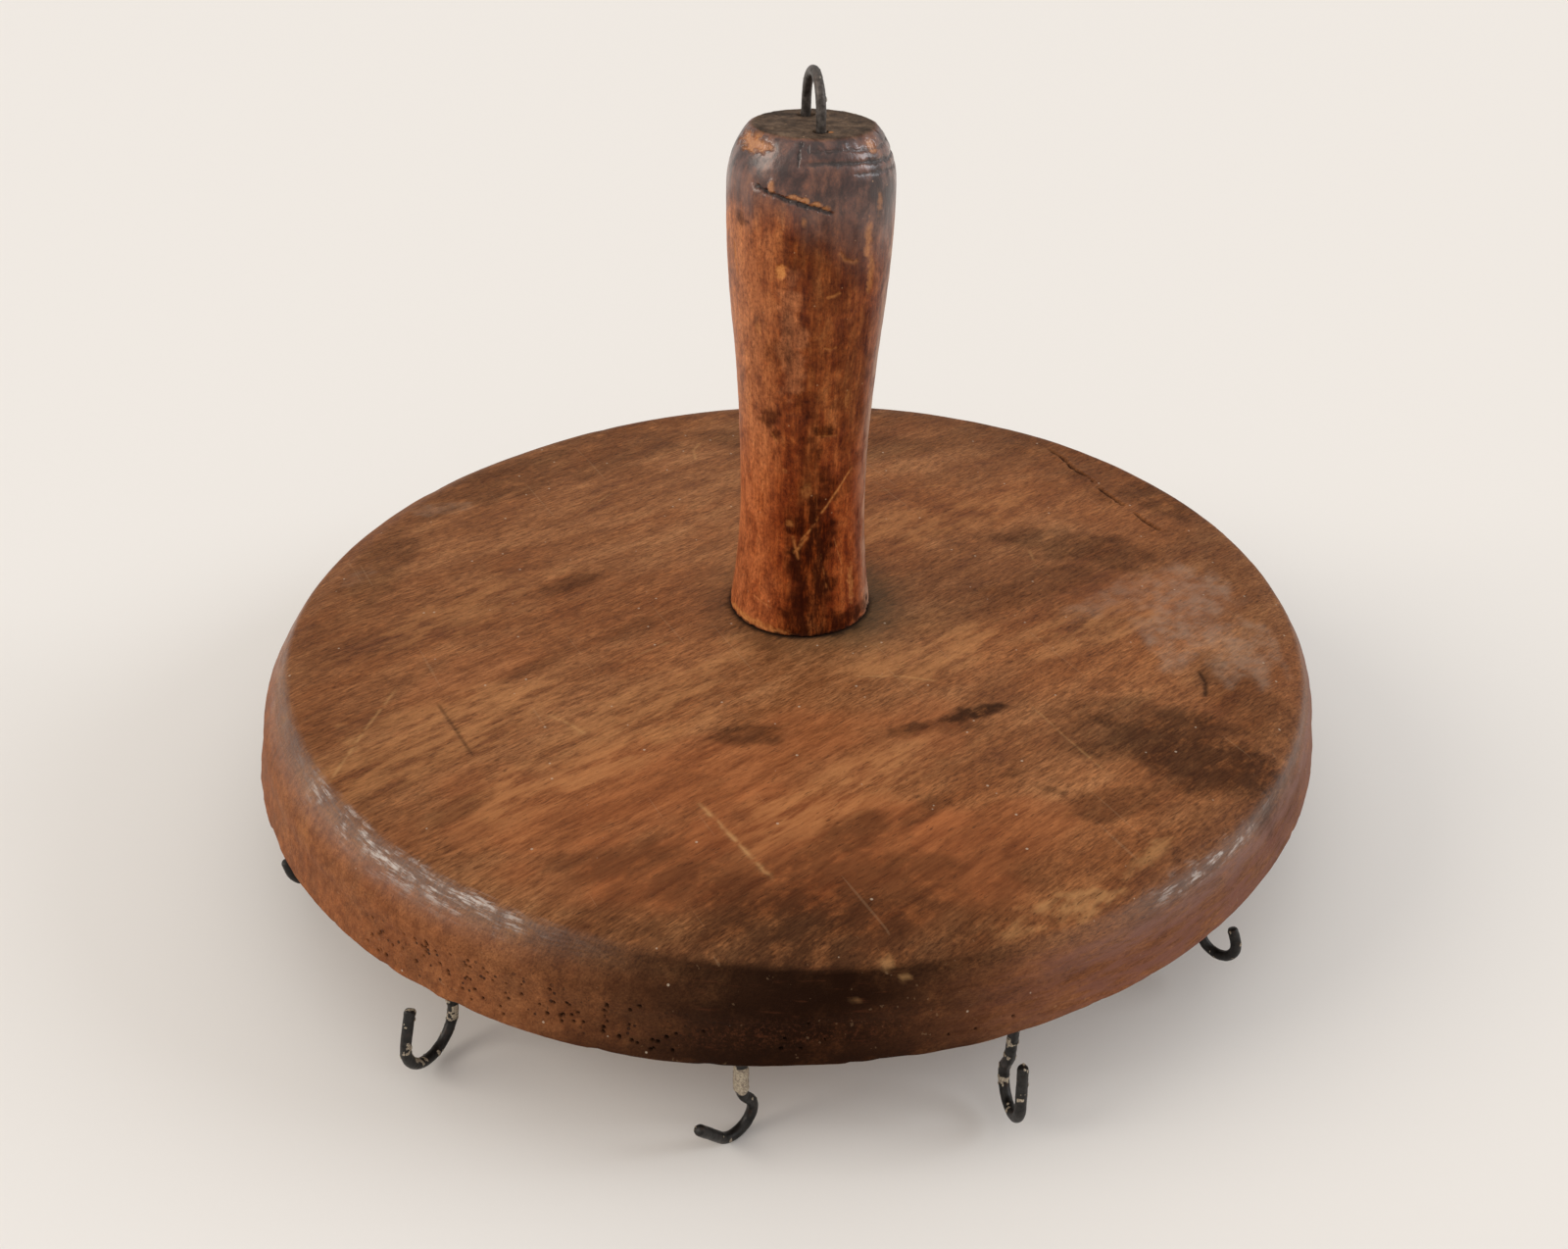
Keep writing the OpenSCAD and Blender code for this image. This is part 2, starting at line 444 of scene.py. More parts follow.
# Scratches on the top face.
SCRATCHES = [
    Mark(0.55, 0.16, 0.9, 0, [(-20, -78.5), (-12, -89.5), (-3, -102)]),
    Mark(0.4, 0.1, 0.55, 0, [(-90, -42), (-93, -58), (-96, -78)]),
    Mark(0.3, 0.08, 0.4, 0, [(52, -40.5), (59, -54), (66, -66)]),
    Mark(0.5, 0.12, 0.6, 0, [(-55, -51), (-50, -54), (-45, -58)]),
    Mark(0.35, 0.08, 0.5, 0, [(12.7, -32.7), (24, -32), (33, -33.7)]),
    Mark(0.4, 0.08, 0.5, 0, [(-31, 90), (-33, 84), (-31.8, 76.6)]),
    Mark(0.35, 0.08, 0.4, 0, [(60.8, 29.4), (61.5, 21), (65.3, 14.3)]),
    Mark(0.45, 0.16, 0, 0.5, [(-80.3, -47.2), (-74, -57), (-67.3, -67.6)]),
    Mark(0.6, 0.2, 0, 0.75, [(93.7, -25.5), (94.4, -31), (92.9, -37.3)]),
    Mark(0.5, 0.15, 0, 0.6, [(98, -66), (103, -69), (105, -74)]),
    Mark(0.35, 0.06, 0.4, 0, [(-30, -20), (-42, -31)]),
    Mark(0.3, 0.06, 0.3, 0, [(-62, 40), (-50, 62)]),
    Mark(0.3, 0.06, 0.3, 0, [(20, 60), (45, 66)]),
]
CRACK = [(72.9, 93.1), (77, 86), (79.5, 78), (83.1, 72.7), (86, 64), (91.3, 54.4), (95, 46), (99.4, 39.6)]

# Dark stains on the top: centre, half size, direction, strength.
STAINS = [
    ((40, -45.5), (10.5, 2.6), 24, 1.0),
    ((25, -52.5), (6, 2.4), 25, 0.8),
    ((33, -51), (8, 2.6), 10, 0.5),
    ((-9.5, -56), (9.5, 4.2), 8, 0.7),
    ((76, 30), (27, 9), -12, 0.6),
    ((60, 10), (26, 8), 30, 0.35),
    ((86, -58), (28, 15), -14, 0.85),
    ((70, -46), (16, 7), 30, 0.5),
    ((66, -76), (14, 6), 20, 0.5),
    ((46, -67), (3.2, 1.6), 30, 0.5),
    ((53, -72), (4.0, 1.4), -20, 0.45),
    ((63, -79), (2.6, 1.3), 10, 0.5),
    ((104, -40), (10, 22), 20, 0.5),
    ((-58, 5), (11, 3.5), 40, 0.5),
    ((-40, -16), (12, 4), 43, 0.3),
    ((4, -101), (44, 9), 3, 0.6),
    ((12, -88), (12, 6), 30, 0.6),
    ((26, -80), (8, 3.5), 40, 0.5),
    ((-34, -98), (18, 6), 20, 0.55),
    ((4, -106), (24, 6), 5, 0.6),
    ((-68, -84), (9, 4), 43, 0.45),
    ((-58, -30), (14, 3), 43, 0.25),
    ((2, 92), (45, 16), 0, 0.5),
    ((-56, 80), (34, 12), 43, 0.4),
    ((84, 74), (24, 12), -45, 0.4),
    ((34, -8), (22, 8), 35, 0.3),
    ((-86, 60), (34, 12), 55, 0.55),
    ((-108, 10), (8, 26), 0, 0.45),
    ((102, 60), (18, 10), -50, 0.7),
    ((46, -104), (9, 5), 30, 0.35),
]
# Places worn back to warmer, paler wood.
WARM = [
    ((-76, -58), (34, 14), 43, 0.55),
    ((-46, -68), (36, 10), 43, 0.55),
    ((-30, -40), (34, 9), 43, 0.5),
    ((-84, -10), (30, 9), 43, 0.4),
    ((10, -74), (30, 10), 38, 0.55),
    ((30, -22), (26, 9), 30, 0.6),
    ((70, -10), (26, 9), 20, 0.45),
    ((30, 40), (40, 10), 30, 0.35),
]
# The edge rubbed through to ochre wood, mostly at the front right.
OCHRE = [
    ((70, -91), (8, 1.8), 46, 0.65),
    ((54, -104), (12, 2.6), 24, 0.8),
    ((40, -111), (6, 1.8), 20, 0.45),
    ((-96, -62), (7, 1.6), 120, 0.4),
]
# Redder wood.
RED = [
    ((-4, -94), (58, 22), 3, 1.0),
    ((-10, -66), (60, 16), 20, 0.7),
    ((-52, -88), (30, 12), -30, 0.6),
    ((40, -88), (26, 12), 30, 0.6),
    ((0, -68), (26, 9), 30, 0.5),
    ((88, 8), (22, 12), 0, 0.45),
    ((-74, -36), (20, 8), 43, 0.35),
]
# Pale bloom of dust on the top face.
BLOOM = [
    ((97, 0), (24, 14), 70, 1.0),
    ((84, 8), (18, 8), 30, 0.6),
    ((106, -16), (15, 9), 80, 0.9),
    ((-99.4, 42), (8, 4), 20, 0.5),
    ((-112, 4.5), (5, 3), 60, 0.4),
]

# Chips out of the rim: place, radius, depth.
RIM_CHIPS = [
    ((17.6, -119.5, 18.4), 1.5, 0.6),
    ((21, -121.0, 16.4), 0.9, 0.35),
    ((-4, -122.5, 16.4), 0.9, 0.3),
    ((-112, -53, 18.5), 2.0, 0.4),
    ((118, -25, 17), 1.6, 0.4),
    ((12, -123.5, 13), 1.2, 0.3),
]


def disc_rings():
    """Closed section of the disc from the bore over the top and rim to the underside and back."""
    section = [(TENON_RADIUS, z) for z in np.linspace(1.0, DISC_TOP - 0.4, 6)]
    section.append((TENON_RADIUS + 0.5, DISC_TOP))
    flat_edge = RIM_RADIUS - EDGE_REACH
    section += [(r, DISC_TOP) for r in np.linspace(TENON_RADIUS + 1.5, flat_edge - 0.5, 92)]
    for t in np.linspace(0, math.pi / 2, 24):
        section.append((flat_edge + EDGE_REACH * math.sin(t), DISC_TOP - EDGE_DROP * (1 - math.cos(t))))
    side_top = DISC_TOP - EDGE_DROP
    for t in np.linspace(0, 1, 9)[1:]:
        z = side_top + (BOTTOM_EDGE - side_top) * t
        section.append((RIM_RADIUS + RIM_FLARE * (1 - z / side_top), z))
    for t in np.linspace(0, math.pi / 2, 5)[1:]:
        section.append((FOOT_RADIUS - BOTTOM_EDGE * (1.1 - math.cos(t)), BOTTOM_EDGE * (1 - math.sin(t))))
    section += [(r, 0) for r in np.linspace(FOOT_RADIUS - 2.5, TENON_RADIUS + 1.5, 70)]
    section.append((TENON_RADIUS + 0.5, 0))
    section = np.array(section)
    turn = np.linspace(0, 2 * math.pi, 760, endpoint=False)
    oval = OUT_OF_ROUND * smooth(section[:, 0], 2 * TENON_RADIUS, 5 * TENON_RADIUS)[:, None]
    along = section[:, :1] * np.cos(turn) * (1 + oval)
    across = section[:, :1] * np.sin(turn) * (1 - oval)
    x, y = turned(along, across, -GRAIN)
    return np.stack([x, y, np.broadcast_to(section[:, 1:], x.shape)], -1)


def wormholes(count, low_angle, high_angle, low_z, high_z, seed):
    """Beetle holes on the rim: middle and radius of each."""
    rng = np.random.default_rng(seed)
    angle = np.radians(rng.uniform(low_angle, high_angle, count))
    z = rng.uniform(low_z, high_z, count)
    radius = rng.uniform(0.2, 0.38, count)
    along_axis, across_axis = turned(np.cos(angle), np.sin(angle), GRAIN)
    reach = 1 / np.hypot(along_axis / (1 + OUT_OF_ROUND), across_axis / (1 - OUT_OF_ROUND))
    side_top = DISC_TOP - EDGE_DROP
    rounding = np.sqrt(np.clip(1 - ((z - side_top) / EDGE_DROP) ** 2, 0, 1))
    section = np.where(
        z < side_top, RIM_RADIUS + RIM_FLARE * (1 - z / side_top), RIM_RADIUS - EDGE_REACH * (1 - rounding)
    )
    rho = section * reach
    return np.column_stack([rho * np.cos(angle), rho * np.sin(angle), z]), radius


worm_centres, worm_radii = wormholes(80, -129, -99, 2.5, 11.5, 5)
more_centres, more_radii = wormholes(9, -100, -70, 2.0, 11.0, 8)
worm_centres = np.vstack([worm_centres, more_centres])
worm_radii = np.concatenate([worm_radii, more_radii])


def nearest(points, centres):
    """Distance to the nearest centre, and which one."""
    best = np.full(len(points), 1e9)
    which = np.zeros(len(points), int)
    for k, centre in enumerate(centres):
        d = np.linalg.norm(points - centre, axis=1)
        nearer = d < best
        best[nearer] = d[nearer]
        which[nearer] = k
    return best, which


def near_disc_marks(margin):
    """The test refine() uses: within margin of a scratch, the crack, a beetle hole or a hook's foot."""

    def test(points):
        top = points[:, 2] > DISC_TOP - 6
        wanted = np.zeros(len(points), bool)
        for mark in SCRATCHES:
            wanted |= top & (path_distance(points, mark.path)[0] < margin)
        wanted |= top & (path_distance(points, CRACK)[0] < margin + 0.8)
        outer = np.hypot(points[:, 0], points[:, 1]) > 100
        side = outer & (points[:, 2] < DISC_TOP - 2) & (points[:, 1] < -90)
        at = np.flatnonzero(side)
        wanted[at] |= nearest(points[at], worm_centres)[0] < margin
        under = np.flatnonzero(points[:, 2] < 0.5)
        wanted[under] |= nearest(points[under], hook_feet)[0] < margin + 1.5
        return wanted

    return test


def disc_skin(piece):
    """The disc's skin, with its faces, and from_brink: how far a point lies outside the worn brink."""
    d = Skin(piece)
    d.upper = smooth(d.normals[:, 2], 0.3, 0.8)
    d.lower = smooth(d.normals[:, 2], -0.3, -0.8)
    d.side = 1 - d.upper - d.lower
    d.facing_up = 1 - d.lower
    d.run = d.rho - d.z
    d.from_brink = d.run - (RIM_RADIUS - EDGE_REACH - DISC_TOP + BRINK)
    return d


def weather_disc(d):
    """Slow unevenness of a hand-turned, long-used board, raised grain, and saw marks on the underside."""
    along, across = turned(d.x, d.y, GRAIN)
    d.rise += 0.28 * d.noise(55, 3) * smooth(d.rho, 2 * TENON_RADIUS, 3 * TENON_RADIUS)
    d.rise += 0.1 * d.noise(12, 4)
    d.rise += 0.035 * fractal(np.column_stack([along / 28, across / 1.7, d.z / 1.7]), 6)
    d.rise += 0.1 * d.side * fractal(np.column_stack([along / 9, across / 2.4, d.z / 2.4]), 9)
    d.rise += 0.05 * d.lower * np.sin(along / 1.9 + 1.5 * d.noise(40, 95))


def wear_brink(d):
    """A firm brink in the rounding, with slight hollows on both sides of it, and a knocked bottom edge."""
    for middle, width, height in ((0, 2.4, 0.42), (-6, 3.0, -0.16), (7, 4.0, -0.2)):
        d.rise += height * bell(d.from_brink - middle, width) * (d.z > 4)
    bottom_edge = smooth(d.rho, FOOT_RADIUS - 6, FOOT_RADIUS - 3) * smooth(d.z, 2.2, 0.4)
    d.rise -= 0.3 * bottom_edge * smooth(d.noise(7, 91), 0.15, 0.7)


def scratch_disc(d):
    ragged = d.points / np.array([1.6, 1.6, 1])
    for k, mark in enumerate(SCRATCHES):
        distance, share = path_distance(d.points, mark.path)
        cut = groove(distance + 0.2 * fractal(ragged, 30 + k), share, mark.width) * d.upper
        d.rise -= mark.depth * cut
        broken = smooth(fractal(ragged * 0.7, 60 + k), -0.7, 0.1)
        d.mark(pale=mark.pale * cut * broken, dark=mark.dark * cut)


def crack_disc(d):
    distance, share = path_distance(d.points, CRACK)
    distance = distance + 0.55 * fractal(d.points / np.array([2.2, 2.2, 1]), 71)
    broken = d.upper * smooth(fractal(d.points / np.array([4.5, 4.5, 1]), 72), -0.25, 0.15)
    split = groove(distance, share, 0.45) * broken
    d.rise += 0.18 * groove(distance - 1.1, share, 0.6) * broken - 0.7 * split
    d.mark(dark=0.85 * split)


def bite_rim(d):
    """Beetle holes and chips."""
    at = np.flatnonzero((d.side + d.upper > 0.2) & (d.rho > 100) & (d.y < -80))
    distance, which = nearest(d.points[at], worm_centres)
    hole = smooth(distance / worm_radii[which], 1.25, 0.75)
    d.rise[at] -= 0.8 * hole
    d.mark_at(at, dark=0.8 * hole)
    for centre, radius, depth in RIM_CHIPS:
        distance = np.linalg.norm(d.points - np.array(centre), axis=1)
        bite = smooth(distance + 0.6 * d.noise(1.5, 80), radius, radius * 0.45)
        d.rise -= depth * bite
        d.mark(pale=0.55 * bite)


def dent_disc(d):
    rng = np.random.default_rng(21)
    for _ in range(70):
        angle, reach = rng.uniform(0, 2 * math.pi), rng.uniform(30, 127)
        radius, depth = rng.uniform(1.2, 4.0), rng.uniform(0.05, 0.22)
        centre = np.array([reach * math.cos(angle), reach * math.sin(angle)])
        close = (np.abs(d.points[:, :2] - centre) < 2 * radius).all(1) & (d.z > 4)
        d.rise[close] -= depth * bell(np.hypot(*(d.points[close, :2] - centre).T), radius)


def tear_hook_holes(d):
    """A torn lip with a dip where each hook goes in."""
    under = np.flatnonzero(d.lower > 0.5)
    distance, _ = nearest(d.points[under], hook_feet)
    lip = bell(distance - 2.1, 0.7) * (1 + fractal(d.points[under] / 1.2, 97))
    well = smooth(distance, 1.9, 1.25)
    d.rise[under] += 0.22 * lip - 1.6 * well
    d.mark_at(under, dark=well)


def stain_disc(d):
    """The patches on the top face, a darker outskirts, and painted shade round the grip's foot: a soft painted
    shadow, stronger to the right, and a dark painted gap line at its edge.
    """
    tables = dict(stain=(STAINS, 0.4, 100), warm=(WARM, 0.5, 140), red=(RED, 0.5, 160),
                  ochre=(OCHRE, 0.6, 165), bloom=(BLOOM, 0.7, 170))
    for name, (table, ragged, seed) in tables.items():
        d.mark(**{name: patches(d.points, table, ragged, seed) * d.facing_up})
    outskirts = smooth(d.rho + 8 * d.noise(30, 184), 92, 122) * d.facing_up
    d.mark(stain=outskirts * (0.22 + 0.3 * smooth(d.y, 10, 100)))
    foot = grip_radii[0]
    # Painted shadow of the grip on the disc round its foot, stronger on the right.
    grime = bell(np.clip(d.rho - foot, 0, 99), 9) * d.upper
    # Painted shade: a dark line on the disc just outside the grip's foot, for the gap between the two.
    gap_shade = smooth(d.rho + 0.5 * d.noise(1.5, 190), foot + 1.1, foot + 0.2) * d.upper
    d.mark(grime=grime * (0.45 + 0.55 * smooth(d.x + 0.5 * d.y, -12, 14)), dark=0.9 * gap_shade, under=d.lower)


def colour_rim(d, wander):
    """A nearly black front, partly dark stain and partly painted shade where the side windows don't reach, rubbed
    and worm-eaten in places, and red and orange flanks with a shine.
    """
    out, angle, standing = d.from_brink, d.angle, d.z > 0.3
    rim = smooth(out + 0.8 * wander, -1.2, 1.2) * standing
    # The front of the rim, and the top just inside it, are darkened partly as stain and partly as painted shade.
    front = bell(angle + 90 + 7 * wander, 19) * rim
    black = bell(angle + 86 + 5 * wander, 15) * rim
    shade = smooth(out, -40 - 9 * wander, -12) * bell(angle + 88, 22) * d.facing_up
    flank = smooth(out + 2 * wander, 3, 8) * standing * (1 - 0.8 * front)
    right = flank * smooth(d.x, 20, 70)
    for stain in (0.85 * front, 0.9 * shade, black, 0.3 * right * (0.8 + 0.5 * wander)):
        d.mark(stain=stain)
    d.mark(red=flank * (0.75 + 0.4 * wander) * smooth(d.y, 40, -40) * smooth(d.x, 90, 10))
    d.mark(rosy=right * smooth(d.y, 60, -30) * d.facing_up)
    shiny = rim * (1 - 0.9 * front) * smooth(np.abs(angle + 90), 12, 34)
    d.mark(front=front, polish=shiny * smooth(out, 14, 5) * smooth(d.x, 165, 60))
    d.mark(rubbed=front * bell(d.z - 6.5 - 2 * wander, 3.2) * between(angle, -108, -98, -72, -64))
    wormy = between(angle + 6 * wander, -134, -124, -102, -92)
    d.mark(wormy=wormy * between(d.z, 1.5, 4, 10.5, 13.5) * d.side)


def wax_rim(d, wander):
    """Films and flakes of old wax on the rounding, at the left and the right. The grey films are partly wax and
    partly a painted reflection of the side windows; the narrow band at the right is mostly a painted highlight.
    """
    out, angle = d.from_brink, d.angle
    inner = smooth(out + 0.8 * wander, -2.2, 0.6) * bell(np.clip(out - 2 - 3 * wander, 0, 99), 4.0)
    left = inner * between(angle, -170, -154, -118, -100) * d.facing_up
    right = bell(out - 2.0 - 1.2 * wander, 2.6) * between(angle, -64, -50, -22, 6) * d.facing_up
    # Painted reflection of the side windows: a grey film band at the left, a narrow band at the right.
    d.mark(film=left)
    d.mark(film=0.8 * right)
    d.mark(flakes=left * between(angle, -149, -136, -120, -106))
    d.mark(flakes=right * between(angle, -58, -50, -42, -32))
    d.masks["polish"] *= 1 - 0.5 * left


def make_disc():
    verts, faces = loft(disc_rings(), closed=True)
    piece = build("disc_wood", verts, faces)
    face_outwards(piece)
    refine(piece, near_disc_marks(1.6))
    refine(piece, near_disc_marks(1.0))
    d = disc_skin(piece)
    for work in (weather_disc, wear_brink, scratch_disc, crack_disc, bite_rim, dent_disc, tear_hook_holes):
        work(d)
    d.rise *= d.rho >= TENON_RADIUS + 0.3
    stain_disc(d)
    ring = np.column_stack([d.x / d.rho * 21, d.y / d.rho * 21, d.run])
    wander = fractal(ring / np.array([6, 6, 12]), 180)
    colour_rim(d, wander)
    wax_rim(d, wander)
    d.finish()
    paint_space(piece, "ring", ring)
    finish_piece(piece, disc_material(), "wheel", "disc_wood", "disc")


def disc_wood(s):
    """The noises of the disc's wood, and its bare colour: cloudy, streaked and speckled along the grain."""
    cloud = s.noise(s.along_grain(GRAIN, 3.0), 14, 6, 0.58, 0.2)
    hue = s.noise(s.along_grain(GRAIN, 2.0, (0.9, 0.3, 0)), 30, 3, 0.55)
    s.patch = s.noise(s.along_grain(GRAIN, 2.4, (0.2, 0.4, 0)), 5, 7, 0.64, 0.2)
    s.streaks = s.noise(s.along_grain(GRAIN, 7, (0.3, 0.1, 0)), 2.0, 5, 0.62, 0.1)
    s.fibres = s.noise(s.along_grain(GRAIN, 7, (0.7, 0.2, 0)), 0.42, 3, 0.7)
    s.speck = s.noise(s.along_grain(GRAIN, 2.4), 0.7, 4, 0.78)
    ring = s.add("ShaderNodeAttribute", attribute_name="ring").outputs["Vector"]
    s.drawn = s.noise(ring, 0.6, 4, 0.7)
    s.broken = s.noise(ring, 1.6, 6, 0.66)
    s.tone = s.plus(s.times(cloud, 0.42), s.times(s.streaks, 0.22), s.times(s.patch, 0.36))
    s.colour = s.ramp(
        s.tone,
        (0.36, (0.15, 0.052, 0.019)),
        (0.45, (0.212, 0.08, 0.028)),
        (0.52, (0.262, 0.106, 0.04)),
        (0.59, (0.318, 0.138, 0.054)),
        (0.68, (0.39, 0.185, 0.08)),
    )
    s.tint(hue, 0.42, 0.62, 0.45, (1.0, 0.8, 0.62))
    s.tint(s.fibres, 0.52, 0.36, 0.6, (0.4, 0.33, 0.29))
    s.tint(s.fibres, 0.52, 0.66, 0.6, (1.55, 1.52, 1.48))
    s.tint(s.speck, 0.5, 0.34, 0.55, (0.38, 0.32, 0.28))
    s.tint(s.speck, 0.54, 0.68, 0.4, (1.5, 1.45, 1.4))


def disc_stains(s):
    redder = s.ramp(s.streaks, (0.35, (0.19, 0.05, 0.015)), (0.65, (0.39, 0.125, 0.04)))
    s.coat(s.mask("red", s.span(s.patch, 0.34, 0.56, 0.45, 1.0), 0.75), redder)
    warm = s.plus(s.times(s.streaks, 0.5), s.times(s.patch, 0.5))
    s.coat(s.mask("warm", s.span(warm, 0.42, 0.56), 0.7), (0.46, 0.205, 0.074))
    edge = s.span(s.noise(s.along_grain(GRAIN, 1.6), 5, 6, 0.72), 0.32, 0.54, 0.35, 1.0)
    s.coat(s.mask("stain", edge, 0.88), (0.022, 0.009, 0.005))
    # Near black front rim: dark stain with painted shade.
    s.coat(s.mask("front", 0.93), (0.01, 0.003, 0.001))
    crumbs = s.noise(s.place, 0.8, 5, 0.8)
    s.coat(s.mask("rubbed", s.span(crumbs, 0.48, 0.66), 0.42), (0.13, 0.042, 0.018))
    s.coat(s.mask("front", s.span(s.broken, 0.58, 0.7), 0.25), (0.12, 0.036, 0.015))
    s.coat(s.mask("ochre", s.span(s.patch, 0.38, 0.58), 0.75), (0.43, 0.215, 0.082))
    # Painted shadow round the grip's foot, in dark grey-green.
    s.coat(s.mask("grime", 0.7), (0.052, 0.043, 0.022))
    raw = s.ramp(s.tone, (0.36, (0.12, 0.06, 0.03)), (0.64, (0.3, 0.185, 0.105)))
    s.coat(s.mask("under", 0.7), raw)


def disc_wear(s):
    """Pores, cuts, wax with a painted reflection of the windows, and dust. Returns the worm-eaten places, which
    the relief needs too.
    """
    pores = s.noise(s.along_grain(GRAIN, 6, (0.1, 0.5, 0)), 0.38, 1, 0.5)
    s.coat(s.span(pores, 0.66, 0.74, 0, 0.5), (0.02, 0.009, 0.005))
    s.coat(s.mask("pale", 0.7), (0.5, 0.27, 0.11))
    # Dark marks, among them the painted dark gap line round the grip's foot.
    s.coat(s.mask("dark"), (0.01, 0.005, 0.003))
    # Grey film on the rounding: old wax and painted reflection of the side windows.
    s.coat(s.mask("film", s.span(s.drawn, 0.36, 0.62, 0.45, 1.0), 0.6), (0.15, 0.115, 0.1))
    lumps = s.span(s.noise(s.place, 5.0, 4, 0.6), 0.42, 0.6)
    flakes = s.times(s.span(s.broken, 0.44, 0.56), s.span(s.drawn, 0.4, 0.56, 0.1, 1.0))
    s.coat(s.mask("flakes", lumps, flakes, 0.75), (0.64, 0.57, 0.52))
    s.coat(s.mask("rosy", s.span(s.broken, 0.38, 0.6, 0.15, 0.75)), (0.18, 0.074, 0.054))
    dusty = s.span(s.noise(s.place, 4.0, 6, 0.6), 0.34, 0.66, 0.25, 1.0)
    s.coat(s.mask("bloom", dusty, 0.38), (0.37, 0.265, 0.195))
    where = s.span(s.noise(s.place, 5, 2, 0.5), 0.4, 0.52)
    worms = s.mask("wormy", s.span(s.cells(s.place, 1.9), 0.22, 0.14), where)
    s.coat(s.times(worms, 0.8), (0.02, 0.008, 0.004))
    s.coat(s.span(s.cells(s.place, 5.6), 0.062, 0.04, 0, 0.5), (0.55, 0.45, 0.34))
    hair = s.noise(s.along_grain(120, 40, (0.1, 0.2, 0)), 1.4, 2, 0.5)
    s.coat(s.span(hair, 0.71, 0.73, 0, 0.1), (0.5, 0.32, 0.18))
    return worms


def disc_material():
    s = Shader("disc_wood")
    disc_wood(s)
    disc_stains(s)
    worms = disc_wear(s)
    shiny = s.mask("polish", s.span(s.broken, 0.4, 0.6, 0.3, 1.0), -0.22)
    s.rough = s.plus(s.times(s.patch, 0.22), 0.46, shiny, s.mask("dark", 0.3), s.mask("pale", 0.2))
    s.relief(s.speck, 0.11, 0.8)
    s.relief(s.fibres, 0.06, 0.7)
    s.relief(s.patch, 0.3, 0.5)
    s.relief(s.times(s.drawn, s.plus(s.mask("flakes"), s.mask("polish", 0.35))), 0.1, 0.8)
    s.relief(s.less(worms), 0.3, 0.8)
    shine = s.plus(s.mask("polish", 0.36), 0.09)
    return s.finish(Specular_IOR_Level=s.times(shine, s.less(s.mask("stain", 0.7))))


# ---- The grip ----


def grip_radius_table():
    """Height and radius of the grip's side, read off the CAD node."""
    points = read_points(frame["nodes"]["grip"])
    side = points[points[:, 2] >= DISC_TOP - 0.01]
    heights = np.unique(side[:, 2].round(2))
    radii = [np.hypot(*side[np.abs(side[:, 2] - h) < 0.02][:, :2].T).max() for h in heights]
    keep = np.array(radii) > TENON_RADIUS
    return heights[keep], np.array(radii)[keep]


grip_heights, grip_radii = grip_radius_table()
grip_height = GRIP_TOP - DISC_TOP

staple_points = read_points(frame["nodes"]["hanging_staple"])


def staple_legs():
    """Where the staple's two legs stand on the grip's end."""
    low = staple_points[staple_points[:, 2] < staple_points[:, 2].min() + 3.2]
    centre = staple_points[:, :2].mean(0)
    offsets = low[:, :2] - centre
    main = offsets[np.argmax(np.hypot(*offsets.T))]
    first = offsets @ main > 0
    return [low[first][:, :2].mean(0), low[~first][:, :2].mean(0)]


legs = staple_legs()

# Marks on the grip: places as (direction in degrees, height above the disc).
GRIP_CUTS = [
    Mark(0.28, 0.22, 0, 0.6, [(-96, 113.6), (-60, 113.6), (-30, 112.9), (10, 113.2)]),
    Mark(0.45, 0.38, 0, 0.85, [(-100, 110.9), (-82, 111.6), (-50, 111.2), (-20, 110.3), (25, 110.6)]),
    Mark(0.3, 0.2, 0, 0.55, [(-66, 109.4), (-40, 109.0), (-10, 108.2), (20, 108.4)]),
    # The deep notch: its dark is painted shade inside the recess.
    Mark(0.5, 0.75, 0, 0.95,
         [(-134, 107.2), (-124, 106), (-112, 105), (-100, 104.2), (-88, 103.2), (-72, 101.6)]),
    Mark(0.28, 0.35, 0, 0.8, [(-99, 115.2), (-100, 112.8), (-99.5, 110.5)]),
    Mark(0.22, 0.22, 0, 0.6, [(-93, 115), (-92.5, 113)]),
]
# Fine pale scratches, in the same places.
GRIP_SCRATCHES = [
    Mark(0.3, 0.09, 0.75, 0, [(-38, 43), (-48, 40.4), (-60, 36.8), (-72, 32.4), (-84, 27.5), (-93, 24.4)]),
    Mark(0.45, 0.12, 0.8, 0, [(-84, 26.8), (-97, 21.6)]),
    Mark(0.38, 0.1, 0.7, 0, [(-98, 26.8), (-92, 20)]),
    Mark(0.22, 0.08, 0.45, 0, [(-60, 26), (-50, 17)]),
    Mark(0.22, 0.08, 0.4, 0, [(-72, 22), (-66, 12)]),
    Mark(0.22, 0.08, 0.4, 0, [(-134, 8.6), (-112, 6.8)]),
    Mark(0.32, 0.1, 0.6, 0, [(-78, 84.5), (-72, 84.8), (-67, 85.6)]),
    Mark(0.25, 0.08, 0.5, 0, [(-78, 73.2), (-72, 72.6), (-67, 73.2)]),
    Mark(0.42, 0.16, 0.35, 0, [(-70, 94.4), (-66, 92.4), (-59, 91.6), (-55, 92.2)]),
    Mark(0.3, 0.08, 0.45, 0, [(-152, 93.5), (-150, 89), (-146, 86)]),
    Mark(0.3, 0.08, 0.35, 0, [(-120, 52), (-112, 49.5)]),
    Mark(0.25, 0.06, 0.35, 0, [(-80, 52), (-60, 51.5)]),
]
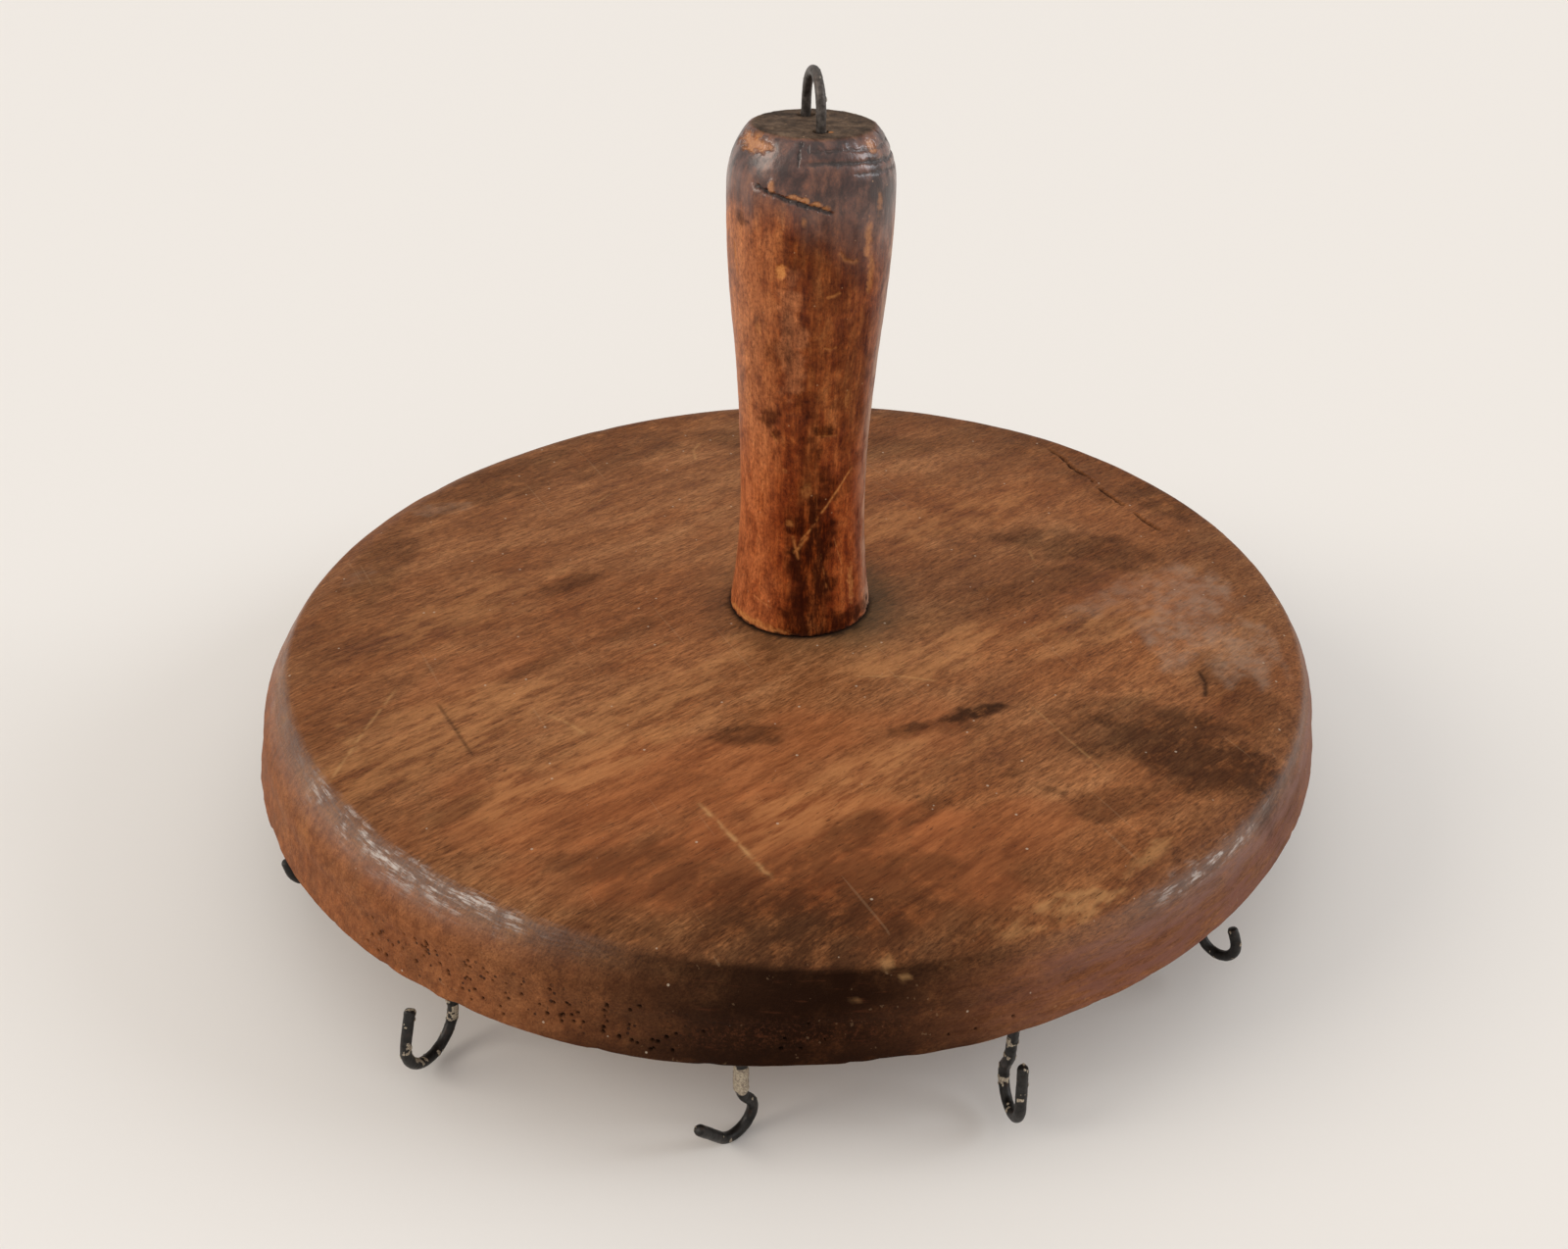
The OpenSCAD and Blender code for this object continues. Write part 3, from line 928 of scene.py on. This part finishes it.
# Pale chips to bare wood: place, half size (along the girth, up), depth (below 0 it stands up), paleness.
GRIP_CHIPS = [
    ((-109, 89.6), (1.35, 1.7), 0.28, 1.0),
    ((-147, 113.6), (7.0, 1.9), 0.75, 0.75),
    ((-36, 113.4), (1.4, 1.4), 0.3, 0.6),
    ((-117, 106.4), (0.9, 1.6), -0.35, 0.6),
    ((-101, 105.1), (1.6, 0.7), 0.15, 0.7),
    ((-94, 104.6), (1.0, 0.8), 0.15, 0.75),
    ((-87, 103.9), (1.3, 0.7), 0.15, 0.75),
    ((-80, 103.1), (1.0, 0.6), 0.15, 0.6),
    ((-94, 100.4), (0.4, 1.1), 0.08, 0.5),
    ((-101, 29.5), (1.2, 0.9), 0.16, 0.6),
    ((-106, 43), (0.8, 0.5), 0.08, 0.45),
    ((-48, 96), (1.0, 4.5), 0.06, 0.55),
    ((-44, 88), (0.9, 5.0), 0.06, 0.45),
    ((-38, 103), (0.8, 2.5), 0.06, 0.4),
    ((-86, 38), (1.4, 2.6), 0.05, 0.3),
    ((-54, 60), (0.9, 2.8), 0.05, 0.3),
    ((-128, 76), (0.9, 1.6), 0.05, 0.3),
    ((-40, 12), (1.2, 5.0), 0.2, 0.55),
    ((-140, 1.6), (9.0, 1.2), 0.1, 0.75),
    ((-112, 1.0), (5.0, 0.8), 0.1, 0.5),
]
# Dark stains: place, half size, strength.
GRIP_STAINS = [
    ((-143, 98.5), (2.2, 1.6), 0.75),
    ((-121, 55.6), (3.0, 3.0), 0.75),
    ((-114, 51.5), (1.4, 1.4), 0.7),
    ((-74, 53), (3.4, 2.0), 0.9),
    ((-79, 47), (1.6, 3.6), 0.7),
    ((-112, 71), (3.4, 3.0), 0.35),
    ((-88, 61), (2.6, 4.0), 0.4),
    ((-101, 31), (1.6, 1.0), 0.6),
    ((-80, 16), (6.5, 27.0), 1.0),
    ((-96, 24), (3.0, 14.0), 0.5),
    ((-88, 3), (6.0, 6.0), 0.95),
    ((-62, 3), (6.0, 3.6), 0.95),
    ((-84, 34), (3.4, 26.0), 0.6),
    ((-80, 78), (3.4, 22.0), 0.3),
    ((-48, 64), (5.5, 26.0), 0.5),
    ((-68, 92), (9.0, 10.0), 0.5),
    ((-90, 94), (5.0, 6.0), 0.6),
    ((-35, 3), (8.0, 2.4), 0.9),
]


def grip_rings():
    """Open section from the middle of the top face over the side and foot down to the tenon's end."""
    heights = np.arange(grip_height - 0.7, 0.4, -0.5)
    top_radius = np.interp(GRIP_TOP, grip_heights, grip_radii)
    section = [(r, GRIP_TOP) for r in np.linspace(0.4, top_radius - 0.8, 24)]
    section.append((top_radius - 0.25, GRIP_TOP - 0.12))
    section += [(np.interp(DISC_TOP + h, grip_heights, grip_radii), DISC_TOP + h) for h in heights]
    foot = np.interp(DISC_TOP, grip_heights, grip_radii)
    section += [(foot - 0.15, DISC_TOP + 0.25), (foot - 0.6, DISC_TOP + 0.08), (foot - 2.5, DISC_TOP + 0.05)]
    section += [(TENON_RADIUS + 0.6, DISC_TOP + 0.05), (TENON_RADIUS - 0.05, DISC_TOP - 0.4)]
    section += [(TENON_RADIUS - 0.05, z) for z in np.linspace(DISC_TOP - 3, GRIP_BOTTOM + 1.2, 8)]
    section += [(TENON_RADIUS - 0.5, GRIP_BOTTOM + 0.35)]
    section += [(r, GRIP_BOTTOM + 0.3) for r in np.linspace(TENON_RADIUS - 1.2, 0.5, 12)]
    section = np.array(section)
    turn = np.linspace(-math.pi, math.pi, 240, endpoint=False)
    x = section[:, :1] * np.cos(turn)
    y = section[:, :1] * np.sin(turn)
    return np.stack([x, y, np.broadcast_to(section[:, 1:], x.shape)], -1)


def unroll(points):
    """Grip points as (distance round the girth, height above the disc, 0)."""
    girth = np.arctan2(points[:, 1], points[:, 0]) * GIRTH_RADIUS
    return np.column_stack([girth, points[:, 2] - DISC_TOP, np.zeros(len(points))])


def on_girth(place):
    """A mark's place in the same coordinates."""
    return math.radians(place[0]) * GIRTH_RADIUS, place[1]


def mark_distance(flat, mark):
    return path_distance(flat, [on_girth(place) for place in mark.path])


def near_grip_marks(margin):
    """The test refine() uses: places within margin of a cut, a scratch, a larger chip or a staple's leg."""

    def test(points):
        flat = unroll(points)
        wanted = np.zeros(len(points), bool)
        for mark in GRIP_CUTS + GRIP_SCRATCHES:
            wanted |= mark_distance(flat, mark)[0] < margin + mark.width
        for place, half_size, _, _ in GRIP_CHIPS[:7]:
            centre = on_girth(place)
            off = (flat[:, :2] - centre) / (np.array(half_size) + margin)
            wanted |= np.hypot(*off.T) < 1
        top = points[:, 2] > GRIP_TOP - 0.3
        for leg in legs:
            wanted |= top & (np.hypot(points[:, 0] - leg[0], points[:, 1] - leg[1]) < 2.4 + margin)
        return wanted & (points[:, 2] > DISC_TOP + 1)

    return test


def grip_skin(piece):
    g = Skin(piece)
    g.flat = unroll(g.points)
    g.height = g.z - DISC_TOP
    g.top = smooth(g.normals[:, 2], 0.75, 0.95) * (g.height > grip_height - 2)
    g.side = (1 - g.top) * smooth(g.height, -0.3, 0.6)
    return g


def weather_grip(g):
    """Slow unevenness and raised grain, and the lip pushed down below the split near the top."""
    g.rise += 0.22 * g.noise(np.array([14, 14, 34]), 201) * g.side
    g.rise += 0.06 * g.noise(np.array([2.2, 2.2, 20]), 203) * g.side
    g.rise += 0.05 * g.noise(3, 204) * g.side
    fold = bell(g.flat[:, 0] - on_girth((-124, 0))[0], 4.5) * bell(g.height - 103.6, 2.2)
    g.rise += 0.45 * fold * g.side


def mark_grip(g):
    ragged = g.points / 0.9
    for k, cut in enumerate(GRIP_CUTS):
        distance, share = mark_distance(g.flat, cut)
        distance = np.abs(distance + 0.45 * fractal(ragged * 0.8, 210 + k))
        section = groove(distance, share, cut.width) * g.side
        g.rise -= cut.depth * section * (0.8 + 0.4 * fractal(ragged, 215 + k))
        g.mark(dark=cut.dark * smooth(section, 0.15, 0.8))
    for k, mark in enumerate(GRIP_SCRATCHES):
        section = groove(*mark_distance(g.flat, mark), mark.width) * g.side
        g.rise -= mark.depth * section
        g.mark(pale=mark.pale * section * smooth(fractal(ragged * 0.5, 220 + k), -0.6, 0.2))
    for k, (place, half_size, depth, paleness) in enumerate(GRIP_CHIPS):
        uneven = 0.25 if max(half_size) < 2 else 0.5
        patch = blot(g.flat, on_girth(place), half_size, 0, uneven, 230 + k) * g.side
        g.rise -= depth * patch
        g.mark(pale=paleness * patch)
    for k, (place, half_size, strength) in enumerate(GRIP_STAINS):
        g.mark(stain=strength * blot(g.flat, on_girth(place), half_size, 0, 0.6, 250 + k))


def chew_grip(g):
    """A ragged, chewed foot with a painted dark gap line along its lowest edge, a torn right side low down, and a
    knocked top edge.
    """
    foot = smooth(g.height, 2.6, 0.2) * g.side
    teeth = fractal(g.flat / np.array([1.5, 2.5, 1]), 260)
    g.rise -= 0.45 * foot * smooth(teeth, 0.0, 0.5) + 0.15 * foot
    # Painted shade: the lowest edge of the foot is painted dark for the gap where the grip meets the disc.
    g.mark(dark=g.side * smooth(g.height + 0.5 * g.noise(0.9, 261), 0.9, 0.3))
    torn = bell(g.angle + 15, 22) * smooth(g.height, 11, 3) * g.side
    g.rise += 0.35 * torn * g.noise(1.3, 262)
    edge = bell(g.height - grip_height, 1.4) * (1 - g.top)
    g.rise -= 0.5 * edge * smooth(g.noise(2.4, 264), 0.05, 0.5)


def roughen_grip_end(g):
    """End grain: pits, a torn hole round each staple leg, and a glint of wood by the front one."""
    g.rise -= g.top * (0.1 + 0.1 * g.noise(3.5, 270) + 0.06 * g.noise(0.8, 271))
    for leg, spread in zip(legs, (1.0, 1.5)):
        distance = np.hypot(g.x - leg[0], g.y - leg[1]) + 0.25 * g.noise(0.7, 274)
        hole = g.top * smooth(distance, STAPLE_WIRE / 2 + 0.75 * spread, STAPLE_WIRE / 2 + 0.1)
        g.rise -= 0.9 * hole
        g.mark(dark=hole)
    front = legs[int(legs[0][1] > legs[1][1])]
    distance = np.hypot(g.x - front[0] - 1.9, g.y - front[1] + 0.3)
    g.mark(pale=0.8 * g.top * smooth(distance, 0.9, 0.4), end_grain=g.top)


def colour_grip(g):
    """A dark coated shoulder, a darker lower part, rubbed wear in the middle with painted light on the left side,
    and a painted sheen along the right edge.
    """
    wander = g.noise(np.array([7, 7, 22]), 280)
    right = bell(g.angle + 48, 34)
    shoulder = smooth(g.height + 3.5 * wander, 96 - 14 * right, 107 - 6 * right) * g.side
    # Painted light: the side facing the left window is painted paler, in the orange of the rubbed wood, and shares
    # the worn mask.
    lit_side = smooth(np.cos(np.radians(g.angle + 172 + 12 * wander)), 0.35, 0.98)
    rubbed = 0.75 * blot(g.flat, on_girth((-102, 74)), (3.4, 15), 0, 0.5, 281)
    g.mark(shoulder=shoulder, worn=np.maximum(lit_side, rubbed) * g.side * (1 - shoulder))
    g.mark(lower=smooth(g.height, 62, 30) * g.side)
    # Painted sheen: a pale band down the right edge stands in for the reflection of the bright room.
    g.mark(haze=bell(g.angle + 10 + 8 * wander, 16) * g.side * smooth(g.height, 104, 92))


def make_grip():
    verts, faces = loft(grip_rings(), closed=False)
    piece = build("grip_wood", verts, faces)
    face_outwards(piece)
    refine(piece, near_grip_marks(0.8))
    refine(piece, near_grip_marks(0.3))
    g = grip_skin(piece)
    for work in (weather_grip, mark_grip, chew_grip, roughen_grip_end, colour_grip):
        work(g)
    g.finish()
    finish_piece(piece, grip_material(), "wheel", "grip_wood", "grip")


def grip_wood(s):
    """The noises of the grip's wood, and its colour with the wear on it, painted light on its left side and a
    painted sheen on its right edge.
    """
    broad = s.noise(s.upright_grain(7), 6, 4, 0.58, 0.5)
    s.streaks = s.noise(s.upright_grain(12), 1.5, 5, 0.64, 0.2)
    s.fibres = s.noise(s.upright_grain(16), 0.4, 3, 0.6)
    s.blotch = s.noise(s.upright_grain(1.6), 4.5, 7, 0.7, 0.3)
    s.speck = s.noise(s.upright_grain(1.5), 0.7, 4, 0.78)
    s.colour = s.ramp(
        s.plus(s.times(broad, 0.34), s.times(s.streaks, 0.26), s.times(s.blotch, 0.4)),
        (0.38, (0.07, 0.011, 0.002)),
        (0.45, (0.175, 0.034, 0.006)),
        (0.51, (0.29, 0.072, 0.015)),
        (0.57, (0.4, 0.122, 0.031)),
        (0.66, (0.51, 0.2, 0.066)),
    )
    # Rubbed wood in the middle, and painted light on the left side, in pale orange.
    s.coat(s.mask("worn", s.span(s.blotch, 0.32, 0.6, 0.35, 1.0), 0.62), (0.64, 0.255, 0.105))
    s.coat(s.mask("lower", 0.6), (1.0, 0.7, 0.5), "MULTIPLY")
    s.tint(s.fibres, 0.56, 0.38, 0.3, (0.42, 0.34, 0.3))
    s.tint(s.speck, 0.54, 0.36, 0.6, (0.34, 0.26, 0.22))
    s.tint(s.speck, 0.54, 0.68, 0.6, (1.6, 1.5, 1.4))
    # Painted sheen along the right edge.
    s.coat(s.mask("haze", s.span(s.blotch, 0.36, 0.58, 0.2, 1.0), 0.6), (0.52, 0.36, 0.26))


def grip_wear(s):
    """Stains, the coated shoulder, the end grain, bare cuts, dark marks (dirt, and painted shade in the deep notch
    and in the gap at the foot) and dust.
    """
    edge = s.span(s.noise(s.upright_grain(5), 1.8, 6, 0.72), 0.32, 0.54, 0.3, 1.0)
    s.coat(s.mask("stain", edge, 0.9), (0.022, 0.004, 0.002))
    shoulder = s.ramp(
        s.blotch,
        (0.38, (0.026, 0.01, 0.008)),
        (0.5, (0.048, 0.019, 0.014)),
        (0.64, (0.1, 0.036, 0.022)),
    )
    s.coat(s.mask("shoulder", s.span(s.blotch, 0.38, 0.62, 0.97, 0.72)), shoulder)
    end = s.ramp(
        s.blotch,
        (0.38, (0.032, 0.018, 0.01)),
        (0.5, (0.088, 0.053, 0.032)),
        (0.62, (0.165, 0.105, 0.066)),
    )
    end = s.mix(s.span(s.speck, 0.45, 0.6, 0, 0.4), end, (0.03, 0.022, 0.016))
    s.coat(s.mask("end_grain"), end)
    bare = s.ramp(s.speck, (0.35, (0.44, 0.13, 0.028)), (0.6, (0.68, 0.29, 0.085)))
    s.coat(s.mask("pale", 0.85), bare)
    # Dark marks: dirt, and painted shade in the deep notch and in the gap at the grip's foot.
    s.coat(s.mask("dark", 0.93), (0.01, 0.004, 0.003))
    s.coat(s.span(s.cells(s.place, 3.4), 0.072, 0.04, 0, 0.45), (0.55, 0.32, 0.17))


def grip_material():
    s = Shader("grip_wood")
    grip_wood(s)
    grip_wear(s)
    s.rough = s.plus(s.times(s.blotch, 0.24), 0.33, s.mask("shoulder", -0.12))
    s.rough = s.plus(s.rough, s.mask("end_grain", 0.35), s.mask("dark", 0.3), s.mask("pale", 0.2))
    s.relief(s.fibres, 0.05, 0.6)
    s.relief(s.streaks, 0.09, 0.5)
    s.relief(s.speck, 0.06, 0.6)
    shine = s.plus(s.mask("shoulder", 0.5), 0.17)
    shine = s.times(shine, s.less(s.mask("stain", 0.75)))
    varnish = s.mask("shoulder", s.span(s.blotch, 0.42, 0.58, 0.0, 0.5))
    return s.finish(Specular_IOR_Level=shine, Coat_Weight=varnish, Coat_Roughness=0.22)


# ---- The wedge ----


def wedge_material():
    s = Shader("wedge_wood")
    streaks = s.noise(s.upright_grain(8), 0.8, 4, 0.6)
    s.colour = s.ramp(streaks, (0.35, (0.16, 0.085, 0.04)), (0.65, (0.4, 0.25, 0.13)))
    s.coat(s.span(s.noise(s.place, 2.5, 4, 0.7), 0.45, 0.65, 0, 0.6), (0.07, 0.04, 0.02))
    s.rough = 0.7
    s.relief(streaks, 0.1, 0.8)
    return s.finish()


def dress_wedge():
    """The wedge keeps its own mesh: only its end shows, in the end of the tenon."""
    wedge = frame["nodes"]["tenon_wedge"]
    wedge.data.materials.clear()
    wedge.data.materials.append(wedge_material())


# ---- Wire: the staple and the hooks ----


def trace_wire(node, start, heading, step=0.4, reach=2.2):
    """Centre line of a wire node, found slice by slice from a point near its first end."""
    mesh = frame["nodes"][node].data
    co = read_points(frame["nodes"][node])
    ends = np.zeros(len(mesh.edges) * 2, int)
    mesh.edges.foreach_get("vertices", ends)
    a, b = co[ends[0::2]], co[ends[1::2]]
    centre, heading = np.array(start, float), np.array(heading, float)
    path = []
    while len(path) < 400:
        guess = centre + heading * step
        da, db = (a - guess) @ heading, (b - guess) @ heading
        cross = da * db < 0
        hits = a[cross] + (b - a)[cross] * (da[cross] / (da[cross] - db[cross]))[:, None]
        hits = hits[np.linalg.norm(hits - guess, axis=1) < reach]
        if len(hits) < 6:
            return np.array(path)
        u = np.cross(heading, [0.3, 0.5, 0.81])
        u /= np.linalg.norm(u)
        v = np.cross(heading, u)
        across, over = (hits - guess) @ u, (hits - guess) @ v
        new = guess + u * (across.min() + across.max()) / 2 + v * (over.min() + over.max()) / 2
        if path:
            heading = 0.5 * heading + 0.5 * (new - path[-1]) / np.linalg.norm(new - path[-1])
            heading /= np.linalg.norm(heading)
        path.append(new)
        centre = new
    return np.array(path)


def even_path(path, spacing):
    """The same line with points an even distance apart, smoothed a little."""
    for _ in range(3):
        path[1:-1] = 0.25 * path[:-2] + 0.5 * path[1:-1] + 0.25 * path[2:]
    run = np.concatenate([[0], np.cumsum(np.linalg.norm(np.diff(path, axis=0), axis=1))])
    at = np.linspace(0, run[-1], int(run[-1] / spacing) + 1)
    return np.column_stack([np.interp(at, run, path[:, k]) for k in range(3)]), at


def wire_rings(path, radii, sides):
    tangent = np.gradient(path, axis=0)
    tangent /= np.linalg.norm(tangent, axis=1)[:, None]
    u = np.cross(tangent[0], [0.2, 0.9, 0.1])
    rings = []
    turn = np.linspace(0, 2 * math.pi, sides, endpoint=False)
    for p, t, r in zip(path, tangent, radii):
        u = u - t * (u @ t)
        u /= np.linalg.norm(u)
        v = np.cross(t, u)
        rings.append(p + r * (np.cos(turn)[:, None] * u + np.sin(turn)[:, None] * v))
    return np.array(rings)


def make_wire(name, path, radius, seed, point_first, point_last, wax, extra_wax=None):
    """A wire with a drawn, pitted skin and flakes of wax. point_first and point_last say which ends are
    sharpened; a plain end gets a small chamfer. extra_wax is the middle and half length of a thick coat."""
    path, run = even_path(path, 0.3)
    radii = np.full(len(path), radius)
    for pointed, from_end in ((point_first, run), (point_last, run[-1] - run)):
        if pointed:
            radii *= np.clip(0.2 + 0.8 * from_end / POINT_LENGTH, 0, 1)
        else:
            radii *= 1 - 0.22 * smooth(from_end, 0.5, 0.0)
    verts, faces = loft(wire_rings(path, radii, 26), closed=False)
    piece = build(name, verts, faces)
    face_outwards(piece)
    points, normals = read_points(piece), read_normals(piece)
    rise = 0.035 * fractal(points / 1.1, seed) + 0.05 * fractal(points / 4.0, seed + 1)
    rise -= 0.07 * smooth(fractal(points / 0.55, seed + 2), 0.25, 0.6)
    coat = smooth(fractal(points / 1.3, seed + 3), 0.58 - wax, 0.7 - wax)
    if extra_wax is not None:
        middle, half_length = extra_wax
        off = np.abs(points[:, 2] - middle) + 1.6 * fractal(points / 1.6, seed + 4)
        bulk = smooth(off, half_length, half_length * 0.6)
        coat = np.maximum(coat, bulk)
        rise += 0.22 * bulk
    rise += 0.16 * coat * (1 + 0.7 * fractal(points / 0.5, seed + 5))
    # Only what stands out of the wood is uneven: above the grip for the staple, below the disc for a hook.
    visible = points[:, 2] > GRIP_TOP - 0.8 if point_last else points[:, 2] < 0.5
    move_points(piece, points + normals * (rise * visible)[:, None])
    paint(piece, wax=coat)
    return piece


def iron_material(name, dark, light, wax_colour):
    s = Shader(name)
    scale = s.noise(s.place, 1.4, 5, 0.7)
    fine = s.noise(s.place, 0.35, 4, 0.7)
    s.colour = s.ramp(scale, (0.36, dark), (0.62, light))
    s.coat(s.span(s.noise(s.place, 3.0, 4, 0.65), 0.56, 0.7, 0, 0.35), (0.08, 0.036, 0.02))
    waxed = s.span(s.plus(s.mask("wax"), s.times(fine, 0.5)), 0.55, 0.85)
    s.coat(waxed, s.mix(s.span(fine, 0.35, 0.65), wax_colour, (0.16, 0.12, 0.09)))
    s.rough = s.plus(s.times(fine, 0.25), 0.32, s.times(waxed, 0.15))
    s.relief(scale, 0.05, 0.7)
    s.relief(fine, 0.03, 0.7)
    return s.finish(Metallic=s.times(s.less(waxed), 0.55))


def make_hooks():
    iron = iron_material("hook_iron", (0.008, 0.007, 0.006), (0.026, 0.023, 0.021), (0.5, 0.42, 0.3))
    wax_shares = [0.08, 0.16, 0.06, 0.22, 0.18, 0.15, 0.26, 0.16, 0.2, 0.14, 0.24, 0.06, 0.26]
    for k, joint in enumerate(hook_joints):
        node = frame["record"]["behaviour"]["bodies"][joint["child"]][0]
        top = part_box(node)[1].z / MM
        foot = hook_feet[k]
        path = trace_wire(node, (foot[0], foot[1], top - 0.1), (0, 0, -1))
        extra = (-13.0, 4.2) if k == 0 else None
        seed = 300 + 9 * k
        piece = make_wire(node + "_wire", path, HOOK_WIRE / 2, seed, True, False, wax_shares[k], extra)
        finish_piece(piece, iron, joint["child"], "hook_iron", node)


def make_staple():
    iron = iron_material("staple_iron", (0.03, 0.024, 0.02), (0.105, 0.088, 0.078), (0.4, 0.36, 0.3))
    low = staple_points[:, 2].min()
    path = trace_wire("hanging_staple", (legs[0][0], legs[0][1], low + 0.1), (0, 0, 1))
    piece = make_wire("staple_wire", path, STAPLE_WIRE / 2, 500, True, True, 0.1)
    finish_piece(piece, iron, "wheel", "staple_iron", "hanging_staple")


# ---- Stage ----


def make_floor():
    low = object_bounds()[0][2] / MM
    half = 15000.0
    corners = np.array([(x * half, y * half, low) for x, y in ((-1, -1), (1, -1), (1, 1), (-1, 1))])
    floor = build("floor", corners, [(0, 1, 2, 3)])
    s = Shader("floor_paper")
    grain = s.noise(s.place, 1.2, 4, 0.6)
    s.colour = s.mix(s.times(grain, 0.06), (0.8, 0.775, 0.745), (0.7, 0.67, 0.64))
    s.rough = 0.85
    s.relief(grain, 0.05, 0.3)
    floor.data.materials.append(s.finish())


def broad_light(name, towards, width, strength, colour):
    """A far, wide, soft light seen in a direction; width is the angle it fills in degrees."""
    data = bpy.data.lights.new(name, "SUN")
    data.angle, data.energy, data.color = math.radians(width), strength, colour
    light = bpy.data.objects.new(name, data)
    bpy.context.scene.collection.objects.link(light)
    light.location = Vector(towards)
    light.rotation_euler = Vector(towards).to_track_quat("Z", "Y").to_euler()


def make_lights():
    world = bpy.data.worlds.new("room")
    bpy.context.scene.world = world
    world.use_nodes = True
    sky = world.node_tree.nodes["Background"]
    sky.inputs["Color"].default_value = (1.0, 0.965, 0.93, 1)
    sky.inputs["Strength"].default_value = 0.66
    broad_light("window_left", (-1.0, -0.2, 0.58), 34, 1.2, (1.0, 0.94, 0.85))
    broad_light("window_right", (1.0, 0.05, 0.52), 26, 0.9, (0.9, 0.95, 1.0))
    broad_light("ceiling", (-0.05, -0.35, 1.0), 80, 0.42, (1.0, 0.96, 0.93))


def make_camera():
    """A close view from the front, about 33 degrees above level, with a slight roll."""
    data = bpy.data.cameras.new("camera")
    data.sensor_width, data.lens = 36, 32.86
    camera = bpy.data.objects.new("camera", data)
    bpy.context.scene.collection.objects.link(camera)
    camera.location = Vector((0, -304.5, 209.1)) * MM
    aim = Vector((-3.6, -11.54, 21.2)) * MM
    level = (aim - camera.location).to_track_quat("-Z", "Y")
    camera.rotation_mode = "QUATERNION"
    roll = Quaternion((0, 0, 1), math.radians(1.262))
    camera.rotation_quaternion = level @ roll
    data.clip_start = 0.01
    bpy.context.scene.camera = camera


make_disc()
make_grip()
make_staple()
make_hooks()
dress_wedge()
make_floor()
make_lights()
make_camera()
bpy.context.scene.view_settings.view_transform = "Standard"
